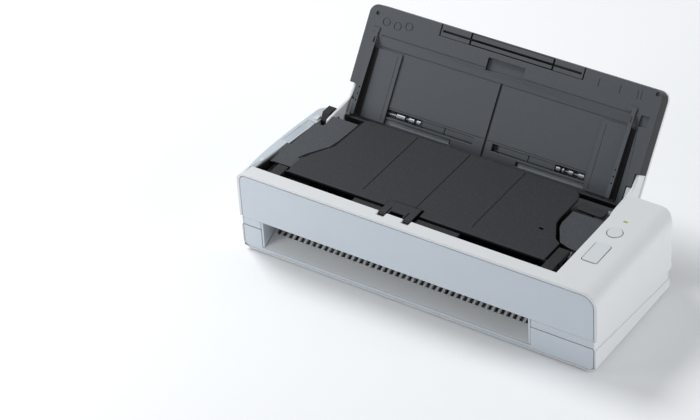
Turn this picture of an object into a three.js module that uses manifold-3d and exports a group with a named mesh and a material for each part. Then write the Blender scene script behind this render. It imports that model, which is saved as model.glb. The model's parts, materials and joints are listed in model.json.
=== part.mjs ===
// A document scanner with its paper cover open. Millimetres, +Z up, the front face looks along -Y.
// Places are given from the front left bottom corner of the body: X to the right, Y to the back, Z up.
import * as THREE from "three";
import { mergeVertices } from "three/addons/utils/BufferGeometryUtils.js";
import Module from "manifold-3d";

const wasm = await Module();
wasm.setup();

// Driving dimensions of the body
const body = { width: 296, depth: 111.3, height: 67.9, wall: 2.2 };
const gap = 0.3; // between pieces that touch
const over = 1; // overrun of a cut
const corner = { topLeft: 8, topRight: 12, bottomLeft: 8.5, bottomRight: 7, rear: 8.5 };
const belt = { frontLow: 20.8, frontHigh: 28.4, rearLow: 11.65, rearHigh: 21, recess: 1.2, inset: 0.9 };

// Distances in from the body's right side, rear face and top, for what keeps its place when the body changes
const fromRight = {
  opening: 37.2, slot: 52.5, path: 46, cover: 37.5, cheek: 40.8, trough: 37.8, earLeft: 50.6, earRight: 42,
  deck: 52.2, well: 38.6, wellStep: 40.4, chassis: 43.8, wedge: 75, sensor: 77, leverLeft: 63, leverRight: 42,
  inlet: 110, port: 130, board: 92, ledge: 45, floor: 49.7, window: 78.8, windowSplit: 103,
  round: 24.4, scanLeft: 30, scanRight: 18.5, lamp: 24.1,
};
const fromRear = {
  hinge: 10.3, deck: 11.3, lug: 9.9, wedge: 14.3, feed: 31.3, guide: 5.3, chassis: 4.8, motor: 21.3,
  well: 16.7, wellRight: 31.8, armRoom: 29.8, leverFront: 28.1, leverRear: 18.4, stem: 45.3,
  bracketFront: 19.3, bracketRear: 3.3, shoulder: 15.8, boardFront: 53.3, boardRear: 13.3,
};
const fromTop = {
  hinge: 10.4, rearWall: 10.9, notch: 20.9, strip: 17.9, deck: 1, deckHinge: 3.3, well: 3.2,
  rimFront: 0.3, rimRear: 10.3,
  stopper: 0.7, troughFloor: 17.1, trough: 2, ear: 1.7, earBlock: 5.1, chassis: 5.5, post: 11.9,
  bracketLow: 18.4, nose: 7.9, crown: 2.5, tail: 6.9,
};
const strip = { depth: 10.5, top: 2, rear: 1.6, low: body.height - fromTop.strip };
const opening = { left: 9, leftRear: 10.6, step: 52, right: body.width - fromRight.opening, blockWall: 2.2 };
const slot = { left: 18.2, right: body.width - fromRight.slot, low: 5.5, lip: 6, slope: 25 };
const rearWall = { top: body.height - fromTop.rearWall, notchLow: body.height - fromTop.notch };
const hinge = { y: body.depth - fromRear.hinge, z: body.height - fromTop.hinge, pin: 2, tilt: 54.5 };

// Driving dimensions of the inner cover, the deck above the paper path
const deck = {
  top: body.height - fromTop.deck, plate: 2, left: 31, right: body.width - fromRight.deck, front: 19.4,
  rear: body.depth - fromRear.deck, hingeY: 21, hingeZ: body.height - fromTop.deckHinge, pin: 1.2, notchPlay: 1.8,
};
const path = { height: 1.6, guide: 1.8, left: 36, right: body.width - fromRight.path };

// Driving dimensions of the paper cover, in its own frame: u from the hinge to the free edge, w to the front
const cover = {
  left: 14.5, right: body.width - fromRight.cover, free: 89.8, foot: -9, corner: 7, back: -26.2, split: -22.6,
};
const offCentre = 1.8; // the paper's middle line lies this far to the left of the cover's
const liner = {
  rim: -11.2, floor: -13.7, skin: 1.8, foot: 5, lowerStep: 18.8, upperStep: 29,
  centre: (cover.left + cover.right) / 2 - offCentre,
};

// A closed three.js geometry as a solid that can be joined and cut
function solid(geometry) {
  const plain = geometry.clone();
  plain.deleteAttribute("normal");
  plain.deleteAttribute("uv");
  const merged = mergeVertices(plain, 1e-4);
  const vertProperties = new Float32Array(merged.attributes.position.array);
  const triVerts = new Uint32Array(merged.index.array);
  return new wasm.Manifold(new wasm.Mesh({ numProp: 3, vertProperties, triVerts }));
}

// An outline as a shape, from a list of points or from a ready shape
const outline = (points) =>
  points instanceof THREE.Shape ? points : new THREE.Shape(points.map(([a, b]) => new THREE.Vector2(a, b)));

// Extrusions of an outline along each axis: (y, z) along X, (x, z) along Y and (x, y) along Z
function extrude(points, from, to) {
  const geometry = new THREE.ExtrudeGeometry(outline(points), {
    depth: to - from,
    bevelEnabled: false,
    curveSegments: 6,
  });
  return geometry.translate(0, 0, from);
}

const turnToX = new THREE.Matrix4().set(0, 0, 1, 0, 1, 0, 0, 0, 0, 1, 0, 0, 0, 0, 0, 1);
const turnToY = new THREE.Matrix4().set(1, 0, 0, 0, 0, 0, -1, 0, 0, 1, 0, 0, 0, 0, 0, 1);
const alongX = (points, from, to) => solid(extrude(points, from, to).applyMatrix4(turnToX));
const alongY = (points, from, to) => solid(extrude(points, -to, -from).applyMatrix4(turnToY));
const alongZ = (points, from, to) => solid(extrude(points, from, to));

const block = (x0, x1, y0, y1, z0, z1) =>
  solid(
    new THREE.BoxGeometry(x1 - x0, y1 - y0, z1 - z0).translate((x0 + x1) / 2, (y0 + y1) / 2, (z0 + z1) / 2),
  );

// A rectangle with its own radius at each corner, from the low left corner round to the left
function rounded(a0, b0, a1, b1, lowLeft, lowRight = lowLeft, highRight = lowLeft, highLeft = lowLeft) {
  const shape = new THREE.Shape();
  shape.moveTo(a0 + lowLeft, b0);
  shape.lineTo(a1 - lowRight, b0);
  if (lowRight > 0) shape.absarc(a1 - lowRight, b0 + lowRight, lowRight, -Math.PI / 2, 0);
  shape.lineTo(a1, b1 - highRight);
  if (highRight > 0) shape.absarc(a1 - highRight, b1 - highRight, highRight, 0, Math.PI / 2);
  shape.lineTo(a0 + highLeft, b1);
  if (highLeft > 0) shape.absarc(a0 + highLeft, b1 - highLeft, highLeft, Math.PI / 2, Math.PI);
  shape.lineTo(a0, b0 + lowLeft);
  if (lowLeft > 0) shape.absarc(a0 + lowLeft, b0 + lowLeft, lowLeft, Math.PI, Math.PI * 1.5);
  return shape;
}

// A round bar along X or Z, and a turned piece along X from rows of [x, radius]
const barX = (x0, x1, y, z, radius, sides = 20) =>
  solid(
    new THREE.CylinderGeometry(radius, radius, x1 - x0, sides)
      .rotateZ(Math.PI / 2)
      .translate((x0 + x1) / 2, y, z),
  );
const barZ = (x, y, z0, z1, radius, sides = 20) =>
  solid(
    new THREE.CylinderGeometry(radius, radius, z1 - z0, sides)
      .rotateX(Math.PI / 2)
      .translate(x, y, (z0 + z1) / 2),
  );

// A shaft along X that carries wheels, each wheel given by its ends and its radius
function shaftWithWheels(x0, x1, y, z, radius, wheels) {
  return wheels.reduce(
    (made, [from, to, wheel]) => made.add(barX(from, to, y, z, wheel)),
    barX(x0, x1, y, z, radius),
  );
}

const cutAll = (made, cuts) => cuts.reduce((left, cut) => left.subtract(cut), made);
const joinAll = (pieces) => pieces.reduce((made, piece) => made.add(piece));

// Materials: colour, roughness and metalness of each finish
const finish = (color, roughness, metalness = 0) => ({ color, roughness, metalness });
const finishes = {
  white: finish(0xdae1e4, 0.45),
  panel: finish(0xc3ccd4, 0.5),
  liner: finish(0x50545a, 0.6),
  deck: finish(0x3c4145, 0.55),
  dark: finish(0x1f2021, 0.7),
  steel: finish(0xb9bcc0, 0.3, 1),
  rubber: finish(0x2a2a2b, 0.9),
  light: finish(0x96be3c, 0.35),
  board: finish(0x1d5a3a, 0.6),
  glass: finish(0x8fa3ad, 0.1),
};

const part = new THREE.Group();
const coverFrame = new THREE.Group();
coverFrame.position.set(0, hinge.y, hinge.z);
coverFrame.rotation.x = THREE.MathUtils.degToRad(hinge.tilt);
part.add(coverFrame);

// Puts a finished solid into the scene as a named mesh
function place(name, made, look, frame = part) {
  const mesh = made.getMesh();
  const geometry = new THREE.BufferGeometry();
  geometry.setAttribute("position", new THREE.BufferAttribute(mesh.vertProperties, mesh.numProp));
  geometry.setIndex(new THREE.BufferAttribute(mesh.triVerts, 1));
  geometry.computeVertexNormals();
  const node = new THREE.Mesh(geometry, new THREE.MeshStandardMaterial(finishes[look]));
  node.name = name;
  frame.add(node);
}

// The front view of the casing, drawn in by a distance
const frontView = (inset) =>
  rounded(
    inset,
    inset,
    body.width - inset,
    body.height - inset,
    corner.bottomLeft - inset,
    corner.bottomRight - inset,
    corner.topRight - inset,
    corner.topLeft - inset,
  );
const planView = (inset) =>
  rounded(inset, 0, body.width - inset, body.depth - inset, 0, 0, corner.rear - inset, corner.rear - inset);

// The height of the paper path's lower face at a distance from the front
const slopeRate = Math.tan(THREE.MathUtils.degToRad(slot.slope));
const pathZ = (y) => slot.lip + slopeRate * y;

// Everything below or above the sloping belt, as a wedge that is wider than the body
const beltLine = (front, rear) => (y) => front + ((rear - front) * y) / body.depth;
const beltLow = beltLine(belt.frontLow, belt.rearLow);
const beltHigh = beltLine(belt.frontHigh, belt.rearHigh);
function belowLine(line, shift = 0) {
  const far = body.depth + over;
  const points = [
    [-over, -over],
    [far, -over],
    [far, line(far) + shift],
    [-over, line(-over) + shift],
  ];
  return alongX(points, -over, body.width + over);
}

// A casing block with the corner radii of the front view and the rounded rear corners
const casingBlock = (inset) =>
  alongY(frontView(inset), 0, body.depth - inset).intersect(
    alongZ(planView(inset), -over, body.height + over),
  );

// Front face: the upper panel and the sill lie in a shallow seat
const panel = { inset: 2.9, thickness: 1.6, groove: 0.45 };
const panelSeat = panel.thickness + gap;
const seatBlock = (inset) => alongY(frontView(inset), -over, panelSeat);
const panelBlock = () => alongY(frontView(panel.inset), 0, panel.thickness);
const frontWall = panelSeat + body.wall - gap;

// The return slot in the lower part of the front
const slotHole = (grow, depth) =>
  block(slot.left - grow, slot.right + grow, -over, depth, slot.low - grow, belt.frontHigh + over);

// Lower casing: a tray with a neck that rises into the upper casing at the belt
const vent = { pitch: 7, width: 2.4, count: 9 };
const inlet = { x: body.width - fromRight.inlet, width: 13, low: 6.4, high: 15.6, depth: 14 };
const port = { x: body.width - fromRight.port, width: 9.4, low: 7, high: 12.6, depth: 9 };
const feet = { radius: 6, height: 1.2, seat: 0.9, insetX: 26, insetY: 16 };
const screw = { head: 2.8, headHeight: 1.4, stem: 1.4, length: 5, insetX: 40 };
const footPlaces = [feet.insetX, body.width - feet.insetX].flatMap((x) =>
  [feet.insetY, body.depth - feet.insetY].map((y) => [x, y]),
);
const screwPlaces = [screw.insetX, body.width - screw.insetX];
const floorLevel = feet.height;
const floorTop = belt.inset + belt.recess + body.wall;

function lowerCasing() {
  const outside = casingBlock(belt.inset).intersect(belowLine(beltLow));
  const neckInset = belt.inset + belt.recess;
  const neck = casingBlock(neckInset).intersect(belowLine(beltHigh, -gap));
  const room = alongY(frontView(neckInset + body.wall), frontWall, body.depth - neckInset - body.wall);
  const cuts = [
    room,
    seatBlock(panel.inset - panel.groove).intersect(belowLine(() => belt.frontLow, over)),
    slotHole(gap, frontWall + over),
    block(inlet.x, inlet.x + inlet.width, body.depth - inlet.depth, body.depth + over, inlet.low, inlet.high),
    block(port.x, port.x + port.width, body.depth - port.depth, body.depth + over, port.low, port.high),
    block(-over, body.width + over, -over, body.depth + over, -over, floorLevel),
  ];
  for (const [x, y] of footPlaces) cuts.push(barZ(x, y, 0, floorLevel + feet.seat, feet.radius + gap));
  for (const x of screwPlaces) {
    cuts.push(barZ(x, body.depth / 2, 0, floorLevel + screw.headHeight + gap, screw.head + gap));
    cuts.push(barZ(x, body.depth / 2, 0, floorTop + over, screw.stem + gap));
  }
  for (let i = 0; i < vent.count; i += 1) {
    const x = inlet.x - vent.pitch * (i + vent.count);
    cuts.push(block(x, x + vent.width, body.depth - inlet.depth, body.depth + over, inlet.low, inlet.high));
  }
  return cutAll(outside.add(neck), cuts);
}

// Upper casing: the top strip, the left rim, the button block and the low rear wall
const rim = { front: body.height - fromTop.rimFront, rear: body.height - fromTop.rimRear };
const button = {
  roundX: body.width - fromRight.round, roundY: 68.1, roundRadius: 5.4,
  scanLeft: body.width - fromRight.scanLeft, scanRight: body.width - fromRight.scanRight,
  scanFront: 31.4, scanRear: 53, scanCorner: 1.6,
  rise: 0.5, skirt: 4, flange: 1.2, groove: 0.35,
};
const lamp = { x: body.width - fromRight.lamp, y: 82.4, width: 3.2, length: 2, height: 6, corner: 0.6 };
const stopper = {
  left: 116.4, right: 142.4, rear: 24.8, low: body.height - fromTop.stopper, thickness: 1.2,
  hingeY: 9.4, hook: 5.6, pin: 0.9, windowInset: 2, windowRear: 13.9, slitRear: 18, slit: 0.6, hookRoom: 2,
};
const stopperHigh = stopper.low + stopper.thickness;
const cheek = { thickness: 2.4, leftX: 17.6, rightX: body.width - fromRight.cheek, room: 0.5 };
const topZ = body.height;
const roundSides = 32;

function upperCasing() {
  const outside = casingBlock(0).subtract(belowLine(beltHigh));
  const roomWall = body.wall;
  const stripEnd = roomWall + body.wall;
  const left = opening.left;
  const farWall = body.depth - roomWall;
  const blockLeft = opening.right + opening.blockWall;
  const rimWedge = [
    [strip.depth, rim.front],
    [body.depth + over, rim.rear],
    [body.depth + over, topZ + over],
    [strip.depth, topZ + over],
  ];
  const underStrip = strip.depth - strip.rear;
  const sideRoom = alongY(frontView(roomWall), strip.depth, farWall);
  const cuts = [
    alongX(rimWedge, -over, opening.leftRear + over),
    sideRoom.intersect(block(blockLeft, body.width, 0, body.depth, 0, topZ - strip.top)),
    sideRoom.intersect(block(0, blockLeft, 0, body.depth, 0, strip.low)),
    block(blockLeft, body.width - corner.topRight, frontWall, farWall, 0, topZ - strip.top),
    block(stripEnd, blockLeft, frontWall, underStrip, 0, topZ - strip.top),
    block(stripEnd, opening.right, underStrip - over, farWall, 0, strip.low),
    block(left, opening.right, strip.depth, opening.step, 0, topZ + over),
    block(opening.leftRear, opening.right, opening.step - over, farWall, 0, topZ + over),
    block(opening.leftRear, opening.right, farWall - over, body.depth + over, rearWall.top, topZ + over),
    seatBlock(panel.inset - panel.groove).subtract(belowLine(() => belt.frontHigh, -over)),
    block(slot.left, slot.right, -over, frontWall + over, 0, belt.frontHigh),
  ];
  for (const x of [cheek.leftX, cheek.rightX]) {
    const far = Math.min(x + cheek.thickness + cheek.room, opening.right);
    cuts.push(block(x - cheek.room, far, farWall - over, body.depth + over, rearWall.notchLow, topZ));
  }
  for (const x of [stopper.left, stopper.right - stopper.hook]) {
    const front = stopper.hingeY - strip.rear - strip.top;
    const seat = stopper.low - stopper.hookRoom;
    cuts.push(block(x - gap, x + stopper.hook + gap, front, strip.depth + over, seat, topZ + over));
  }
  const skinLow = topZ - strip.top - over;
  cuts.push(barZ(button.roundX, button.roundY, skinLow, topZ + over, button.roundRadius + button.groove, roundSides));
  cuts.push(alongZ(scanOutline(button.groove), skinLow, topZ + over));
  cuts.push(alongZ(lampOutline(0), skinLow, topZ + over));
  cuts.push(barX(opening.right - over, blockLeft + over, hinge.y, hinge.z, hinge.pin + gap));
  return cutAll(outside, cuts);
}

const scanOutline = (grow) =>
  rounded(
    button.scanLeft - grow, button.scanFront - grow, button.scanRight + grow, button.scanRear + grow,
    button.scanCorner + grow,
  );
const lampOutline = (inset) =>
  rounded(
    lamp.x - lamp.width / 2 + inset, lamp.y - lamp.length / 2 + inset,
    lamp.x + lamp.width / 2 - inset, lamp.y + lamp.length / 2 - inset, lamp.corner,
  );

place("lower_casing", lowerCasing(), "white");
place("upper_casing", upperCasing(), "white");
place("front_panel", panelBlock().subtract(belowLine(() => belt.frontHigh)), "panel");
const sillBlock = panelBlock().intersect(belowLine(() => belt.frontLow));
const belowSill = block(-over, body.width + over, -over, frontWall, -over, panel.inset);
place("front_sill", cutAll(sillBlock, [slotHole(0, frontWall), belowSill]), "panel");

footPlaces.forEach(([x, y], i) => {
  place("foot_" + (i + 1), barZ(x, y, 0, floorLevel + feet.seat - gap, feet.radius), "rubber");
});

// Buttons with a flange under the casing's top, and the status light
function roundButton() {
  const under = topZ - strip.top - gap;
  const top = topZ + button.rise;
  const cap = barZ(button.roundX, button.roundY, under - button.skirt, top, button.roundRadius, roundSides);
  const flangeRadius = button.roundRadius + button.flange;
  return cap.add(barZ(button.roundX, button.roundY, under - button.flange, under, flangeRadius, roundSides));
}
function scanButton() {
  const under = topZ - strip.top - gap;
  const cap = alongZ(scanOutline(0), under - button.skirt, topZ + button.rise);
  return cap.add(alongZ(scanOutline(button.flange), under - button.flange, under));
}
place("power_button", roundButton(), "panel");
place("scan_button", scanButton(), "panel");
place("status_light", alongZ(lampOutline(gap), topZ - lamp.height, topZ), "light");

// A point at a distance from the front and at a height square to the paper path's lower face
const slopeAngle = THREE.MathUtils.degToRad(slot.slope);
const onPath = (y, height) => [y - height * Math.sin(slopeAngle), pathZ(y) + height * Math.cos(slopeAngle)];
const pathBand = (y0, y1, low, high) => [onPath(y0, low), onPath(y1, low), onPath(y1, high), onPath(y0, high)];

// Slot tray: the sloping white floor of the return slot, which ends in a comb
const comb = { root: 12.7, tip: 18, pitch: 5.1, notch: 3, floorBack: 5.5, thickness: 2, front: 0.5 };
const frame = { wall: 1.6, rear: 16.5, ceiling: 1.4, clear: 0.4, backLow: 17.5, backWall: 1.3 };
const trayLeft = slot.left + gap + frame.wall + gap;
const trayRight = slot.right - gap - frame.wall - gap;
function slotTray() {
  const low = slot.low + gap;
  const side = [
    [comb.front, low],
    [comb.floorBack, low],
    [comb.tip, pathZ(comb.tip) - comb.thickness],
    [comb.tip, pathZ(comb.tip)],
    [comb.front, pathZ(comb.front)],
  ];
  const floor = alongX(side, trayLeft, trayRight);
  const cuts = [];
  for (let x = trayLeft + comb.pitch - comb.notch; x < trayRight - comb.notch; x += comb.pitch) {
    cuts.push(block(x, x + comb.notch, comb.root, comb.tip + over, 0, body.height));
  }
  return cutAll(floor, cuts);
}
place("slot_tray", slotTray(), "white");

// Exit frame: the dark end walls, ceiling and back of the return slot
function exitFrame() {
  const low = slot.low + gap;
  const top = belt.frontHigh + frame.clear + frame.ceiling;
  const left = slot.left + gap;
  const right = slot.right - gap;
  const front = frontWall + frame.clear;
  const walls = [
    block(left, left + frame.wall, frame.clear, frame.rear, low, belt.frontHigh - frame.clear),
    block(right - frame.wall, right, frame.clear, frame.rear, low, belt.frontHigh - frame.clear),
    block(left, left + frame.wall, front, frame.rear, low, top),
    block(right - frame.wall, right, front, frame.rear, low, top),
    block(left, right, front, frame.rear, top - frame.ceiling, top),
    block(left, right, frame.rear - frame.backWall, frame.rear, frame.backLow, top),
  ];
  return joinAll(walls);
}
place("exit_frame", exitFrame(), "dark");

// Exit trough behind the top strip, with its flat bars and the two ears that carry the inner cover
const trough = {
  front: 10.9, wall: 1.3, floor: body.height - fromTop.troughFloor, floorWall: 1.5, top: body.height - fromTop.trough,
  rear: 27, left: 11, right: body.width - fromRight.trough,
};
const bars = { leftFrom: 91, leftTo: 115.6, rightFrom: 143.2, rightTo: 178, rear: 17.4, thickness: 1.8 };
const ears = {
  leftFrom: 21, leftTo: 29.6, rightFrom: body.width - fromRight.earLeft, rightTo: body.width - fromRight.earRight,
  rear: 24.4, blockLow: body.height - fromTop.earBlock, top: body.height - fromTop.ear, wellPlay: 3.7,
};
const wellFrontShare = 0.2705;
const wellFront = deck.front + wellFrontShare * (deck.rear - deck.front);
function exitTrough() {
  const barLow = trough.top - bars.thickness;
  const pieces = [
    block(trough.left, trough.right, trough.front, trough.front + trough.wall, trough.floor, trough.top),
    block(trough.left, trough.right, trough.front, trough.rear, trough.floor, trough.floor + trough.floorWall),
    block(bars.leftFrom, bars.leftTo, trough.front, bars.rear, barLow, trough.top),
    block(bars.rightFrom, bars.rightTo, trough.front, bars.rear, barLow, trough.top),
    block(ears.leftFrom, ears.leftTo, trough.front, ears.rear, trough.floor, ears.top),
    block(ears.rightFrom, ears.rightTo, trough.front, trough.rear, trough.floor, ears.top),
    block(ears.rightFrom, ears.rightTo, trough.rear - over, wellFront - ears.wellPlay, ears.blockLow, ears.top),
  ];
  const hookRoom = stopper.rear - stopper.hook;
  const cuts = [
    barX(ears.leftFrom - over, ears.rightTo + over, deck.hingeY, deck.hingeZ, deck.pin + gap),
    block(stopper.left - over, stopper.right + over, 0, hookRoom, barLow - over, body.height),
  ];
  return cutAll(joinAll(pieces), cuts);
}
place("exit_trough", exitTrough(), "dark");

// Stopper: a small flap on two hooks in the strip, folded back over the inner cover's front edge
function stopperFlap() {
  const armFront = stopper.hingeY;
  const tabFront = strip.depth + gap + gap;
  const pieces = [block(stopper.left, stopper.right, tabFront, stopper.rear, stopper.low, stopperHigh)];
  for (const x of [stopper.left, stopper.right - stopper.hook]) {
    pieces.push(block(x, x + stopper.hook, armFront, tabFront + over, stopper.low - over, stopperHigh));
    pieces.push(barX(x, x + stopper.hook, armFront, stopper.low - over / 2, stopper.pin));
  }
  const inset = stopper.hook + stopper.windowInset;
  const high = body.height + over;
  const windowFront = tabFront - over;
  const slitLeft = stopper.left + stopper.hook;
  const slitRight = stopper.right - stopper.hook - stopper.slit;
  const cuts = [
    block(stopper.left + inset, stopper.right - inset, windowFront, stopper.windowRear, 0, high),
    block(slitLeft, slitLeft + stopper.slit, windowFront, stopper.slitRear, 0, high),
    block(slitRight, slitRight + stopper.slit, windowFront, stopper.slitRear, 0, high),
  ];
  return cutAll(joinAll(pieces), cuts);
}
place("stopper", stopperFlap(), "deck");

// Outline of the inner cover seen from above: left side from the rear, then right side from the front
const deckShares = [
  [0.0846, 1], [0.0728, 0.9628], [0.0705, 0.84], [0.0677, 0.639], [0.0653, 0.5199], [0.0211, 0.3226],
  [0.0089, 0.2432], [0, 0.2382], [0, 0.0856], [0.0047, 0],
  [1, 0], [1, 0.263], [0.9779, 0.3027], [0.9361, 0.5012], [0.9323, 0.5769], [0.9342, 0.8784],
  [0.9248, 0.9479], [0.8976, 1],
];
const onDeck = (shares) =>
  shares.map(([across, along]) => [
    deck.left + across * (deck.right - deck.left),
    deck.front + along * (deck.rear - deck.front),
  ]);
const lugs = {
  firstLeft: 115.4, firstRight: 119, secondLeft: 152, secondRight: 154.5, rear: body.depth - fromRear.lug,
};
const wedge = {
  left: 50, right: body.width - fromRight.wedge, front: 36, rear: body.depth - fromRear.wedge, skin: 1.6, lean: 3.2,
};
const feed = {
  y: body.depth - fromRear.feed, roller: 7, rise: 0.6, pinch: 4.2, shaft: 3, pinchShaft: 1.2, nip: 0.9, pulley: 6,
};
const exit = { y: 27, roller: 6, rise: 0.6, pinch: 3.5, nip: 0.9, pulley: 6 };
const scanWidth = 12;
const sensorShare = 0.434; // of the way from the exit rollers to the feed rollers
const sensorFrom = exit.y + sensorShare * (feed.y - exit.y);
const sensor = {
  from: sensorFrom, to: sensorFrom + scanWidth, left: 52, right: body.width - fromRight.sensor,
  depth: 12, glass: 1, ledge: 1.4,
};
const wheelShares = [0.24, 0.42, 0.58, 0.76];
const wheelWidth = 14;
const wheels = (radius) =>
  wheelShares.map((share) => {
    const middle = path.left + share * (path.right - path.left);
    return [middle - wheelWidth / 2, middle + wheelWidth / 2, radius];
  });
const wheelWindows = (y, reach, low, high) =>
  wheels(0).map(([from, to]) => alongX(pathBand(y - reach, y + reach, low, high), from - over, to + over));

const pinLug = { width: 3 };

// Inner cover: the deck plate with a hollow wedge below it that follows the paper path
function innerCover() {
  const plate = alongZ(onDeck(deckShares), deck.top - deck.plate, deck.top);
  const low = path.height;
  const top = deck.top - deck.plate;
  const tube = [
    onPath(wedge.front, low),
    onPath(wedge.rear, low),
    [wedge.rear, top + over],
    [wedge.front - wedge.lean, top + over],
  ];
  const bore = [
    onPath(wedge.front + wedge.skin, low + wedge.skin),
    onPath(wedge.rear - wedge.lean, low + wedge.skin),
    [wedge.rear - wedge.skin, top],
    [wedge.front - wedge.skin / 2, top],
  ];
  const ring = alongX(tube, wedge.left, wedge.right).subtract(alongX(bore, wedge.left - over, wedge.right + over));
  const pieces = [plate, ring];
  pieces.push(block(lugs.firstLeft, lugs.firstRight, deck.rear - over, lugs.rear, top, deck.top));
  pieces.push(block(lugs.secondLeft, lugs.secondRight, deck.rear - over, lugs.rear, top, deck.top));
  const [y, z] = [deck.hingeY, deck.hingeZ];
  const lugLeft = deck.left + pinLug.width;
  const lugRight = deck.right - pinLug.width;
  pieces.push(barX(ears.leftTo - pinLug.width, deck.left + over, y, z, deck.pin));
  pieces.push(barX(deck.right - over, ears.rightFrom + pinLug.width, y, z, deck.pin));
  pieces.push(block(deck.left, lugLeft, y - deck.pin, y + pinLug.width, z - deck.pin, top + over));
  pieces.push(block(lugRight, deck.right, y - deck.pin, y + pinLug.width, z - deck.pin, top + over));
  const shelf = sensor.ledge;
  const shelfRight = sensor.right - shelf;
  const holeLow = low - over;
  const holeHigh = low + wedge.skin + over;
  const cuts = [
    block(stopper.left - over, stopper.right + over, 0, stopper.rear + deck.notchPlay, top - over, body.height),
    alongX(pathBand(sensor.from, sensor.to, holeLow, low + sensor.glass), sensor.left, sensor.right),
    alongX(pathBand(sensor.from + shelf, sensor.to - shelf, holeLow, holeHigh), sensor.left + shelf, shelfRight),
    ...wheelWindows(feed.y, feed.pinch + over, holeLow, holeHigh),
  ];
  return cutAll(joinAll(pieces), cuts);
}
place("inner_cover", innerCover(), "deck");

// Image sensors: a bar below the path and one in the inner cover, each behind a strip of glass
const glassStrip = (low, high) =>
  alongX(pathBand(sensor.from + gap, sensor.to - gap, low, high), sensor.left + gap, sensor.right - gap);
const sensorBar = (low, high) =>
  alongX(pathBand(sensor.from + gap, sensor.to - gap, low, high), sensor.left, sensor.right);
const upperSeat = path.height + wedge.skin + gap;
place("upper_glass", glassStrip(path.height, path.height + sensor.glass - gap), "glass");
place("upper_sensor", sensorBar(upperSeat, upperSeat + sensor.depth), "dark");
place("lower_glass", glassStrip(gap - sensor.glass, 0), "glass");
place("lower_sensor", sensorBar(-path.guide - gap - sensor.depth, -path.guide - gap), "dark");

// Lower guide: the fixed lower face of the paper path, with windows for the rollers and the glass
const guideEnds = { front: 18.6, rear: body.depth - fromRear.guide };
function lowerGuide() {
  const sheet = alongX(pathBand(guideEnds.front, guideEnds.rear, -path.guide, 0), path.left, path.right);
  const low = -path.guide - over;
  const shelf = sensor.ledge;
  const cuts = [
    alongX(pathBand(sensor.from, sensor.to, -sensor.glass, over), sensor.left, sensor.right),
    alongX(pathBand(sensor.from + shelf, sensor.to - shelf, low, over), sensor.left + shelf, sensor.right - shelf),
    ...wheelWindows(feed.y, feed.roller, low, over),
    ...wheelWindows(exit.y, exit.roller, low, over),
  ];
  return cutAll(sheet, cuts);
}
place("lower_guide", lowerGuide(), "dark");

// Side wells: the lower plates beside the inner cover, left and right, on the chassis side plates
const well = {
  top: body.height - fromTop.well, plate: 1.6, left: 13.6, right: body.width - fromRight.well,
  leftFront: 27, step: body.width - fromRight.wellStep, rear: body.depth - fromRear.well,
  rearRight: body.depth - fromRear.wellRight, neckRight: 43,
};
const armRoom = { right: 21, front: body.depth - fromRear.armRoom };
const wellLeftShares = [
  [-0.0038, 0.0943], [-0.0038, 0.2506], [0.0047, 0.2581], [0.016, 0.33], [0.0597, 0.5261], [0.062, 0.6402],
  [0.0648, 0.84],
];
const wellLeft = [
  [well.left, well.leftFront],
  ...onDeck(wellLeftShares),
  [well.neckRight, well.rear],
  [armRoom.right, well.rear],
  [armRoom.right, armRoom.front],
  [well.left, armRoom.front],
];
const wellRightShares = [[0.9445, 0.7457], [0.9431, 0.5583], [0.9502, 0.4888], [0.9906, 0.3102], [1.032, 0.2754]];
const wellRight = [
  [well.right, wellFront],
  [well.right, well.rearRight],
  ...onDeck(wellRightShares),
  [well.step, wellFront],
];
const lever = {
  left: body.width - fromRight.leverLeft, right: body.width - fromRight.leverRight,
  front: body.depth - fromRear.leverFront, rear: body.depth - fromRear.leverRear,
  stem: 5, stemFront: body.depth - fromRear.stem, stemThickness: 1.6, travel: 2.4,
};
const leverShares = [
  [0.0, 0.0], [0.895, -0.082], [0.967, 0.072], [1.0, 0.763], [0.89, 0.928],
  [0.676, 0.753], [0.39, 0.68], [0.081, 1.0], [0.0, 0.845],
];
const leverOutline = leverShares.map(([across, along]) => [
  lever.left + across * (lever.right - lever.left),
  lever.front + along * (lever.rear - lever.front),
]);
const leverMiddle = (lever.left + lever.right) / 2;
const stemTop = well.top - well.plate - gap;
function sideWell(points, posts) {
  const plate = alongZ(points, well.top - well.plate, well.top);
  return joinAll([plate, ...posts]);
}
const chassis = {
  leftX: 33.6, rightX: body.width - fromRight.chassis, thickness: 1.6, low: 4.6, front: 18.2,
  rear: body.depth - fromRear.chassis, top: body.height - fromTop.chassis, slopeTop: 40, slopeRear: 40, bearing: 0.3,
};
const post = { width: 5, front: 52, rear: 56, low: body.height - fromTop.post };
const inPlate = well.top - well.plate / 2;
const leftPost = block(chassis.leftX - post.width, chassis.leftX - gap, post.front, post.rear, post.low, inPlate);
const lining = { thickness: 1.3, front: 12.6, low: 57, drop: 0.8 };
const rimLine = (y) => rim.front + ((rim.rear - rim.front) * (y - strip.depth)) / (body.depth - strip.depth);
function leftLining() {
  const front = opening.left + gap;
  const stepY = opening.step - gap;
  const side = (y0, y1, low) => [
    [y0, low], [y1, low], [y1, rimLine(y1) - lining.drop], [y0, rimLine(y0) - lining.drop],
  ];
  const sheetLow = well.top - well.plate;
  return [
    alongX(side(lining.front, stepY, lining.low), front, front + lining.thickness),
    block(front, well.left + over, well.leftFront, stepY, sheetLow, inPlate),
  ];
}
place("side_well_left", sideWell(wellLeft, [leftPost, ...leftLining()]), "deck");
const rail = leverMiddle + lever.stem / 2 + gap;
const railLeft = leverMiddle - lever.stem / 2 - gap;
const railLow = stemTop - lever.stemThickness;
place(
  "side_well_right",
  sideWell(wellRight, [
    block(rail, rail + well.plate, lever.stemFront, well.rearRight, railLow, inPlate),
    block(railLeft - well.plate, railLeft, lever.stemFront, well.rearRight, railLow, inPlate),
  ]),
  "deck",
);

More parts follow.
